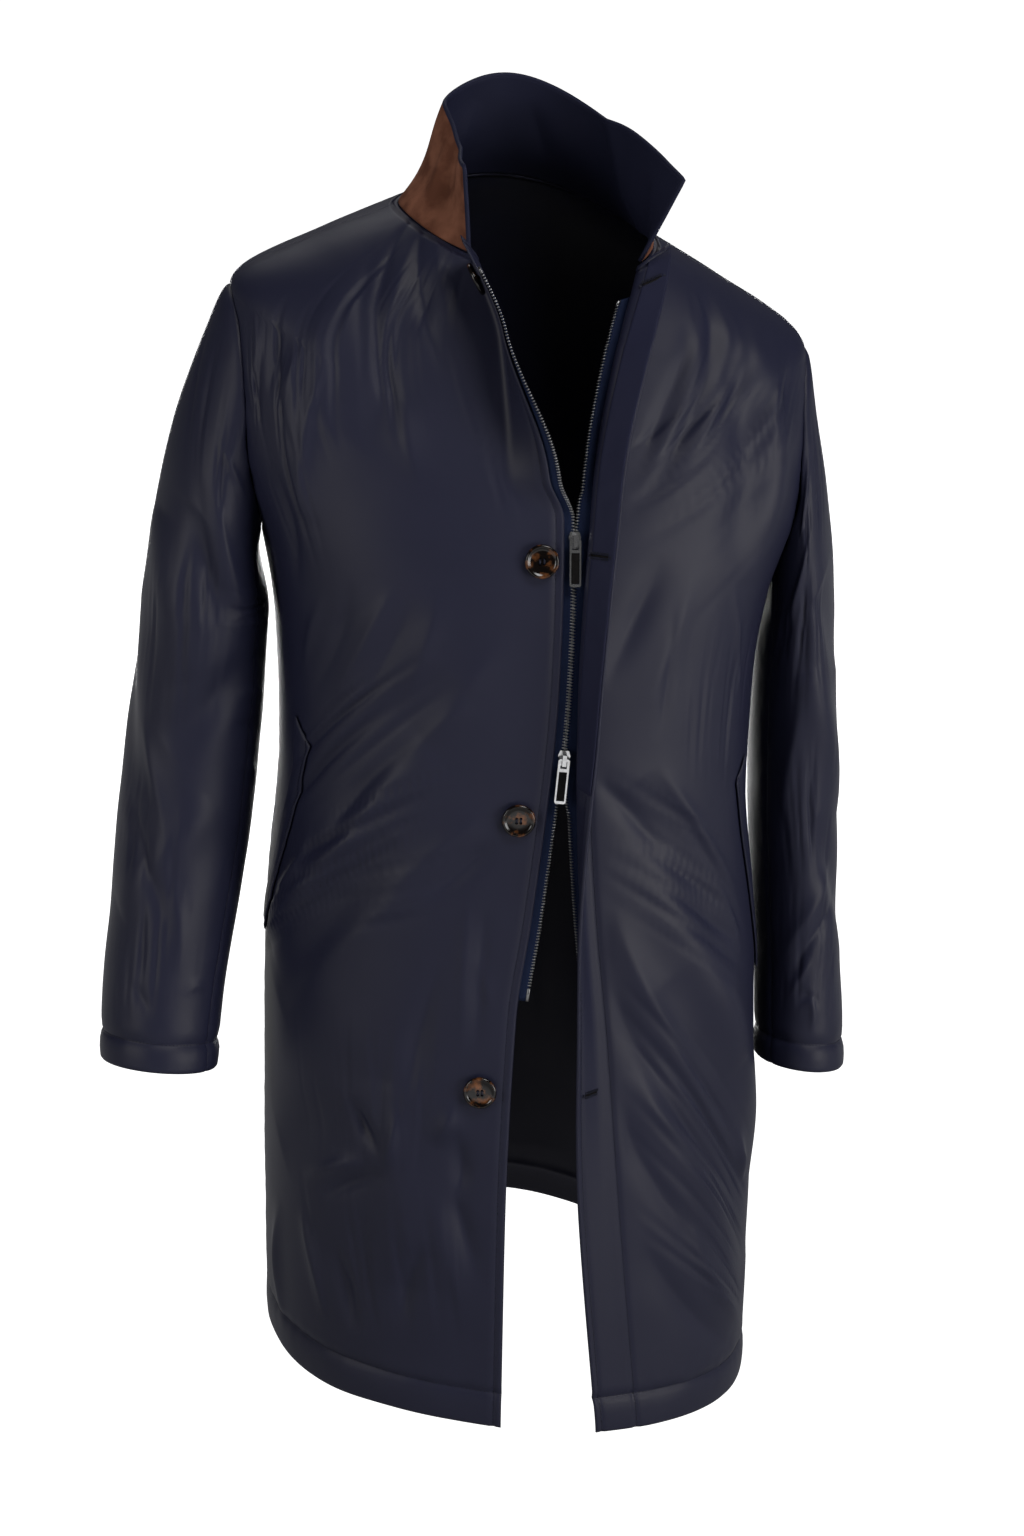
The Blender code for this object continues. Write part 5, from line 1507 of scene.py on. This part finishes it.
# %% Pocket welts
WELT_TOP = (math.radians(60), 0.548)
WELT_BOTTOM = (math.radians(81), 0.378)
WELT_WIDTH = 0.024
WELT_WALL = 0.002
WELT_GAP = 0.0008
WELT_SKEW = 0.02
WELT_SKEW_FROM = 0.9
WELT_ROWS = 70
WELT_SHARES = np.array([0, 0.04, 0.1, 0.2, 0.22, 0.24, 0.4, 0.55, 0.7, 0.85, 0.94, 1])
WELT_STITCH = 4  # which of these shares the stitches follow


def on_front(side, angle, level):
    """Point and normal of a front's cloth at an angle and a level."""
    angles, outer, normals, _ = FRONTS[side]
    width = angles.shape[1]
    row = int(np.clip(np.searchsorted(LEVELS, level, side="right") - 1, 0, len(LEVELS) - 2))
    share = (level - LEVELS[row]) / (LEVELS[row + 1] - LEVELS[row])
    found = []
    for grid in (outer, normals):
        ends = []
        for i in (row, row + 1):
            order = np.argsort(angles[i])
            ends.append(read_off(angle, angles[i][order], grid[i, :width][order]))
        found.append((1 - share) * ends[0] + share * ends[1])
    return found[0], unit(found[1])


def pocket_welt(side, node):
    (top_angle, top), (low_angle, low) = WELT_TOP, WELT_BOTTOM
    points, normals = [], []
    for level in np.linspace(low, top, WELT_ROWS):
        up = (level - low) / (top - low)
        start = low_angle + (top_angle - low_angle) * up
        for across in WELT_SHARES:
            skew = across * WELT_SKEW * eased(up, WELT_SKEW_FROM, 1.0)
            point, normal = on_front(side, side * (start + across * WELT_WIDTH / BODY_RADIUS), level + skew)
            points.append(point + normal * (WELT_GAP + WELT_WALL))
            normals.append(normal)
    grid = (WELT_ROWS, len(WELT_SHARES), 3)
    outer, facing = np.reshape(points, grid), np.reshape(normals, grid)
    over = run_of(outer, 1)
    outer = outer + facing * groove(over - over[:, WELT_STITCH:WELT_STITCH + 1])[..., None]
    cloth(node, outer, facing, WELT_WALL, SHELL)
    return outer[:, WELT_STITCH], facing[:, WELT_STITCH]


WELTS = [pocket_welt(RIGHT, "pocket_welt_right")]
WELTS.append(pocket_welt(LEFT, "pocket_welt_left"))

# %% [markdown]
# The zip's tapes are woven ribbons sewn under the fronts' edges. The right tape stands out past its edge.
# The left one is drawn across to the right one where the zip is closed, between the two sliders.

# %% Zip tapes
TAPE_WALL = 0.001
TAPE_UNDER = 0.006
TAPE_GAP = 0.0008
TAPE_OUT = 0.007
CHAIN_GAP = 0.002
OPEN_TAPE_REACH = 0.0145
ZIP_PARTING = 0.05
ZIP_BOTTOM = 0.385
ZIP_TOP = 0.98
UPPER_SLIDER_LEVEL = 0.770
LOWER_SLIDER_LEVEL = 0.580
TAPE_ROWS = 160
TAPE_SHARES = np.array([0, 0.1, 0.25, 0.4, 0.55, 0.7, 0.85, 0.95, 1])


def chain_side(level, past_teeth):
    """Outer point and normal in line with the right front's strip, this far past the right tape's teeth."""
    past = np.full_like(level, RIGHT_STRIP + TAPE_OUT + past_teeth)
    point, _, facing = front_edge(RIGHT, level, past)
    return point, facing


def tape_edges(side, rows):
    """Points and normals at the tape's hidden edge, at the cloth's edge and at the teeth."""
    if side == RIGHT:
        hidden = RIGHT_STRIP - TAPE_UNDER
        past, levels = np.meshgrid((hidden, RIGHT_STRIP, RIGHT_STRIP + TAPE_OUT), rows)
        point, _, facing = front_edge(RIGHT, levels, past)
        return point, facing
    roll, towards, facing = front_edge(LEFT, rows, 0 * rows)
    closed, closed_facing = chain_side(rows, CHAIN_GAP)
    apart = np.maximum(LOWER_SLIDER_LEVEL - rows, rows - UPPER_SLIDER_LEVEL)
    share = np.clip(apart / ZIP_PARTING, 0, 1)[:, None]
    reach = closed + (roll + towards * OPEN_TAPE_REACH - closed) * share
    reach_facing = unit(closed_facing + (facing - closed_facing) * share)
    point = np.stack([roll - towards * TAPE_UNDER, roll, reach], 1)
    return point, np.stack([facing, facing, reach_facing], 1)


def zip_tape(side, node):
    rows = np.linspace(ZIP_BOTTOM, ZIP_TOP, TAPE_ROWS)
    point, facing = tape_edges(side, rows)
    near = point - facing * (WALL + TAPE_GAP)
    outer = [near[:, 0] + (near[:, 1] - near[:, 0]) * share for share in TAPE_SHARES]
    outer += [near[:, 1] + (near[:, 2] - near[:, 1]) * share for share in TAPE_SHARES[1:]]
    normals = [facing[:, 0]] * len(TAPE_SHARES)
    normals += [unit(facing[:, 1] + (facing[:, 2] - facing[:, 1]) * share) for share in TAPE_SHARES[1:]]
    cloth(node, np.stack(outer, 1), np.stack(normals, 1), TAPE_WALL, TAPE)


zip_tape(RIGHT, "zip_tape_right")
zip_tape(LEFT, "zip_tape_left")

# %% [markdown]
# Teeth are small metal blocks clamped on each tape's edge, half a pitch apart from those of the other
# side. A stop ends each row at the top, and a pin at the bottom.

# %% Zip teeth
TOOTH_PITCH = 0.00245
TOOTH_WIDE, TOOTH_TALL, TOOTH_DEEP = 0.0030, 0.0010, 0.0022
TOOTH_PAST_EDGE = 0.0001
TOOTH_CHAMFER = 0.25
TOOTH_ROWS = 4 * TAPE_ROWS
ROWS_UP, ROWS_DOWN = 2, 3  # a tooth's upward direction is read from rows this far above and below
BLOCK_LAYERS = ((-0.5, 1.0), (0.2, 1.0), (0.5, 1 - TOOTH_CHAMFER))
BLOCK_CORNERS = ((-0.5, -0.5), (0.5, -0.5), (0.5, 0.5), (-0.5, 0.5))
SLIDER_HALF = 0.0055
STOP_WIDE, STOP_TALL = 1.1 * TOOTH_WIDE, 0.0042
PIN_WIDE, PIN_TALL = 0.8 * TOOTH_WIDE, 0.011


def block(centre, across, up, out, wide, tall, deep):
    """A block whose outer face is smaller, like a stamped tooth."""
    spots = []
    for level, size in BLOCK_LAYERS:
        for x, z in BLOCK_CORNERS:
            spots.append(centre + out * deep * level + across * wide * x * size + up * tall * z * size)
    sides = [[0, 3, 2, 1], [8, 9, 10, 11]]
    for low in (0, 4):
        for i in range(4):
            j = (i + 1) % 4
            sides.append([low + i, low + j, low + 4 + j, low + 4 + i])
    return np.array(spots), sides


def zip_teeth(side, name):
    rows = np.linspace(ZIP_BOTTOM, ZIP_TOP, TOOTH_ROWS)
    point, facing = tape_edges(side, rows)
    edge = point[:, 2] - facing[:, 2] * (WALL + TAPE_GAP + TAPE_WALL / 2)
    across = unit(point[:, 2] - point[:, 1])
    run = run_along(edge)
    sliders = np.interp((LOWER_SLIDER_LEVEL, UPPER_SLIDER_LEVEL), rows, run)
    start = PIN_TALL + TOOTH_PITCH * (0.5 if side == LEFT else 1.0)
    shapes = []

    def at(distance, tall, wide):
        centre, over, out = [read_off(distance, run, grid) for grid in (edge, across, facing[:, 2])]
        row = int(np.interp(distance + TOOTH_PITCH, run, np.arange(len(run))))
        up = unit(edge[min(row + ROWS_UP, len(edge) - 1)] - edge[max(row - ROWS_DOWN, 0)])
        out = unit(np.cross(over, up)) * np.sign(np.cross(over, up) @ out)
        shapes.append(block(centre + over * TOOTH_PAST_EDGE, over, up, out, wide, tall, TOOTH_DEEP))

    for distance in np.arange(start, run[-1] - STOP_TALL, TOOTH_PITCH):
        if np.abs(sliders - distance).min() > SLIDER_HALF:
            at(distance, TOOTH_TALL, TOOTH_WIDE)
    at(run[-1] - STOP_TALL / 2, STOP_TALL, STOP_WIDE)
    at(PIN_TALL / 2, PIN_TALL, PIN_WIDE)
    put_shapes(name, shapes, TOOTH)
    print(name, len(shapes))


zip_teeth(RIGHT, "zip_teeth_right")
zip_teeth(LEFT, "zip_teeth_left")

# %% [markdown]
# Sliders, pull tabs and inlays already have their shape as solids. Each gets a copy with softened edges,
# and the tabs and inlays ride on the bodies that swing.

# %% Sliders and pulls
METAL_BEVEL = 0.00035
BEVEL_STEPS = 2
SMOOTH_BELOW = math.radians(35)


def softened(node, finish, body):
    mesh = bpy.data.objects[node].data.copy()
    made = put(node + "_soft", mesh, finish, body, stands_for=node)
    bevel = made.modifiers.new("soft_edges", "BEVEL")
    bevel.width = METAL_BEVEL
    bevel.segments = BEVEL_STEPS
    bevel.limit_method = "ANGLE"
    mesh.set_sharp_from_angle(angle=SMOOTH_BELOW)


for word in ("upper", "lower"):
    softened(f"zip_slider_{word}", SILVER, "coat")
    softened(f"zip_pull_{word}", SILVER, f"{word}_pull")
    softened(f"zip_pull_{word}_inlay", LEATHER_AND_SLIT_SHADE, f"{word}_pull")

# %% [markdown]
# Buttons are turned from horn: a rim, a dished middle and four holes. The turned form is a profile
# carried round in a circle, and the holes are cut with a Boolean. Two bars of thread join the holes, and
# a thick post of it is the shank.

# %% Buttons
BUTTON_RADIUS = 0.0134
BUTTON_THICKNESS = 0.0042
BUTTON_SHANK = 0.0018
BUTTON_SIDES = 56
HOLE_SIDES = 14
HOLE_RADIUS = 0.0012
HOLE_SPACING = 0.0034
DRILL_LENGTH = 4 * BUTTON_THICKNESS
THREAD_RADIUS = 0.00055
THREAD_STEPS = 9
THREAD_FLATNESS = 1.4
THREAD_DIP = 2.2  # a bar of thread goes down into its holes by this many radii
THREAD_LEVEL_POWER = 4  # the higher, the longer a bar stays level before it goes down
POST_TOP, POST_LENGTH = 0.2, 1.6  # shares of the button's thickness and of its shank
Turning = namedtuple("Turning", "radius height")
BUTTON_PROFILE = (
    Turning(0.55, 0.00),
    Turning(0.86, 0.06),
    Turning(0.95, 0.20),
    Turning(0.99, 0.40),
    Turning(1.00, 0.58),
    Turning(0.985, 0.78),
    Turning(0.94, 0.95),
    Turning(0.89, 1.00),
    Turning(0.84, 0.97),
    Turning(0.78, 0.86),
    Turning(0.72, 0.74),
    Turning(0.64, 0.69),
    Turning(0.40, 0.67),
)


def cut_by(base, tool):
    """The mesh that is left of one mesh when another is cut out of it."""
    pair = [bpy.data.objects.new("helper", mesh) for mesh in (base, tool)]
    for helper in pair:
        bpy.context.scene.collection.objects.link(helper)
    cut = pair[0].modifiers.new("cut", "BOOLEAN")
    cut.operation = "DIFFERENCE"
    cut.object = pair[1]
    bpy.context.view_layer.update()
    result = bpy.data.meshes.new_from_object(pair[0].evaluated_get(bpy.context.evaluated_depsgraph_get()))
    for helper in pair:
        bpy.data.objects.remove(helper, do_unlink=True)
    return result


def button_mesh():
    turns = WHOLE_TURN * np.arange(BUTTON_SIDES) / BUTTON_SIDES
    spots = []
    for ring in BUTTON_PROFILE:
        radius, height = ring.radius * BUTTON_RADIUS, ring.height * BUTTON_THICKNESS
        spots += [(radius * np.cos(t), radius * np.sin(t), height) for t in turns]
    index = np.arange(len(spots)).reshape(-1, BUTTON_SIDES)
    after = np.roll(index, -1, 1)
    sides = np.stack([index[:-1], after[:-1], after[1:], index[1:]], -1).reshape(-1, 4).tolist()
    disc = mesh_of("button", [(spots, sides + [index[0, ::-1].tolist(), index[-1].tolist()])])
    drill = bmesh.new()
    for x in (-HOLE_SPACING / 2, HOLE_SPACING / 2):
        for y in (-HOLE_SPACING / 2, HOLE_SPACING / 2):
            bmesh.ops.create_cone(
                drill,
                cap_ends=True,
                segments=HOLE_SIDES,
                radius1=HOLE_RADIUS,
                radius2=HOLE_RADIUS,
                depth=DRILL_LENGTH,
                matrix=Matrix.Translation((x, y, 0)),
            )
    holes = bpy.data.meshes.new("holes")
    drill.to_mesh(holes)
    drill.free()
    return cut_by(disc, holes)


def right_strip(past, level):
    return front_edge(RIGHT, level, past)[0]


def button_thread(number, frame_matrix):
    """Two bars between the holes, and a shank under the button."""
    half, top = HOLE_SPACING / 2, BUTTON_PROFILE[-1].height * BUTTON_THICKNESS
    share = np.linspace(-1, 1, THREAD_STEPS)
    outward, aside = [np.tile(way, (THREAD_STEPS, 1)) for way in ((0.0, 0.0, 1.0), (1.0, 0.0, 0.0))]
    shapes = []
    for x in (-half, half):
        height = top + THREAD_RADIUS * (1 - THREAD_DIP * share**THREAD_LEVEL_POWER)
        line = np.stack([0 * share + x, share * half, height], 1)
        shapes.append(sweep(line, outward, THREAD_RADIUS * THREAD_FLATNESS, THREAD_RADIUS))
    height = BUTTON_THICKNESS * POST_TOP + (share - 1) / 2 * BUTTON_SHANK * POST_LENGTH
    post = np.stack([0 * share, 0 * share, height], 1)
    shapes.append(sweep(post, aside, half, half))
    mesh = mesh_of(f"button_thread_{number}", shapes)
    mesh.transform(frame_matrix)
    put(f"button_thread_{number}", mesh, THREAD)


BUTTON_SHAPE = button_mesh()
for number, spot in enumerate(BUTTON_PLACES, start=1):
    spot_past, spot_level = np.array(RIGHT_STRIP - spot.from_edge), np.array(spot.level)
    out = Vector(normals_of(right_strip, spot_past, spot_level))
    upward = (Vector((0, 0, 1)) - out * out.z).normalized()
    turned = Matrix((upward.cross(out), upward, out)).transposed().to_4x4()
    seat = Matrix.Translation(Vector(right_strip(spot_past, spot_level)) + out * BUTTON_SHANK) @ turned
    button = BUTTON_SHAPE.copy()
    button.transform(seat)
    put(f"button_{number}_horn", button, HORN, stands_for=f"button_{number}")
    button.set_sharp_from_angle(angle=SMOOTH_BELOW)
    button_thread(number, seat)
print("buttons:", len(BUTTON_PLACES))

# %% [markdown]
# Topstitching is a row of short beads of thread in its groove. Each line is read off the cloth that was
# made, so the thread lies on it. Hem, cuffs, front edges and welts are all sewn this way.

# %% Topstitching
STITCH_LENGTH = 0.0031
STITCH_SHARE = 0.30
STITCH_WIDTH = 0.00036
STITCH_HEIGHT = 0.00030
STITCH_UP = 0.00010
BEAD_SIDES = 6
BEAD_PLACES = np.array([-1, -0.7, 0.7, 1])
BEAD_TAPER = np.array([0.45, 1.0, 1.0, 0.45])


def bead(middle, half, facing, height):
    """One stitch: a short bar of thread with thinner ends."""
    spots = middle + BEAD_PLACES[:, None] * half
    return sweep(spots, np.tile(facing, (len(spots), 1)), STITCH_WIDTH, height, BEAD_SIDES, BEAD_TAPER)


def stitches(name, points, normals):
    line, facing = spaced(points, normals, STITCH_LENGTH)
    shapes = []
    for a, b, way in zip(line, line[1:], facing):
        shapes.append(bead((a + b) / 2 + way * STITCH_UP, (b - a) * STITCH_SHARE, way, STITCH_HEIGHT))
    put_shapes(name, shapes, THREAD)
    return len(shapes)


def front_stitches(side, word):
    _, outer, normals, all_past = FRONTS[side]
    lines = {"hem": (outer[HEM_ROW], normals[HEM_ROW])}
    inset = FLY_EDGE_STITCH if side == LEFT else RIGHT_EDGE_STITCH
    columns = [int(np.argmin(np.abs(all_past[0] - (STRIPS[side][-1] - inset))))]
    if side == LEFT:
        columns.append(int(np.argmin(np.abs(all_past[0]))))
    for i, place in enumerate(columns):
        lines[f"edge_{i + 1}"] = outer[:, place], normals[:, place]
    return sum(stitches(f"stitch_front_{word}_{key}", *line) for key, line in lines.items())


sewn = front_stitches(RIGHT, "right") + front_stitches(LEFT, "left")
sewn += stitches("stitch_back_hem", BACK[1][HEM_ROW], BACK[2][HEM_ROW])
for place, line in zip(("right_upper", "right_under", "left_upper", "left_under"), CUFFS):
    sewn += stitches(f"stitch_cuff_{place}", *line)
for place, line in zip(("right", "left"), WELTS):
    sewn += stitches(f"stitch_welt_{place}", *line)
print("stitches:", sewn)

# %% [markdown]
# A buttonhole is a slit with close stitches all round it. The slit is a flat near-black strip, painted
# shade for the dark opening. The two upper ones show on the facing, where the fly is turned out, and the
# two lower ones on the outside.

# %% Buttonholes
Hole = namedtuple("Hole", "name level past outside")
HOLES = (
    Hole("neck", 0.983, 0.0225, False),
    Hole("chest", 0.756, 0.0225, False),
    Hole("waist", 0.536, 0.0225, True),
    Hole("skirt", 0.314, 0.0190, True),
)
HOLE_LENGTH = 0.020
HOLE_WIDTH = 0.0016
HOLE_STITCH = 0.0022
HOLE_STITCHES = 46
HOLE_SQUARENESS = 1.15  # above 1 some of the stitches gather at both ends
HOLE_END_COSINE = 0.87  # past this cosine of the turn, stitches fan out round an end
SLIT_STEPS = 6


def buttonhole(spec):
    point, towards, facing = front_edge(LEFT, np.array(spec.level), np.array(spec.past))
    if not spec.outside:
        point = point - facing * (WALL + SEAM_GAP + TRIM_WALL)
        facing = -facing
    up = unit(np.cross(towards, facing))
    reach = HOLE_LENGTH / 2 - HOLE_WIDTH
    shapes = []
    for turn in WHOLE_TURN * np.arange(HOLE_STITCHES) / HOLE_STITCHES:
        along = np.clip(np.cos(turn) * HOLE_SQUARENESS, -1, 1) * reach
        at_end = np.abs(np.cos(turn)) > HOLE_END_COSINE
        way = unit(towards * np.cos(turn) * at_end + up * np.sin(turn))
        middle = point + towards * along + way * (HOLE_WIDTH / 2 + HOLE_STITCH / 2) + facing * STITCH_UP * 2
        shapes.append(bead(middle, way * HOLE_STITCH / 2, facing, STITCH_WIDTH))
    put_shapes(f"buttonhole_{spec.name}", shapes, THREAD)
    # The slit is a flat near-black strip just over the cloth: painted shade for the opening.
    line = point + towards * np.linspace(-1, 1, SLIT_STEPS)[:, None] * reach + facing * STITCH_UP
    slit_shade = sweep(line, np.tile(facing, (SLIT_STEPS, 1)), HOLE_WIDTH / 2, STITCH_UP, BEAD_SIDES)
    put_shapes(f"buttonhole_{spec.name}_slit", [slit_shade], LEATHER_AND_SLIT_SHADE)


for spec in HOLES:
    buttonhole(spec)
print("buttonholes:", len(HOLES))
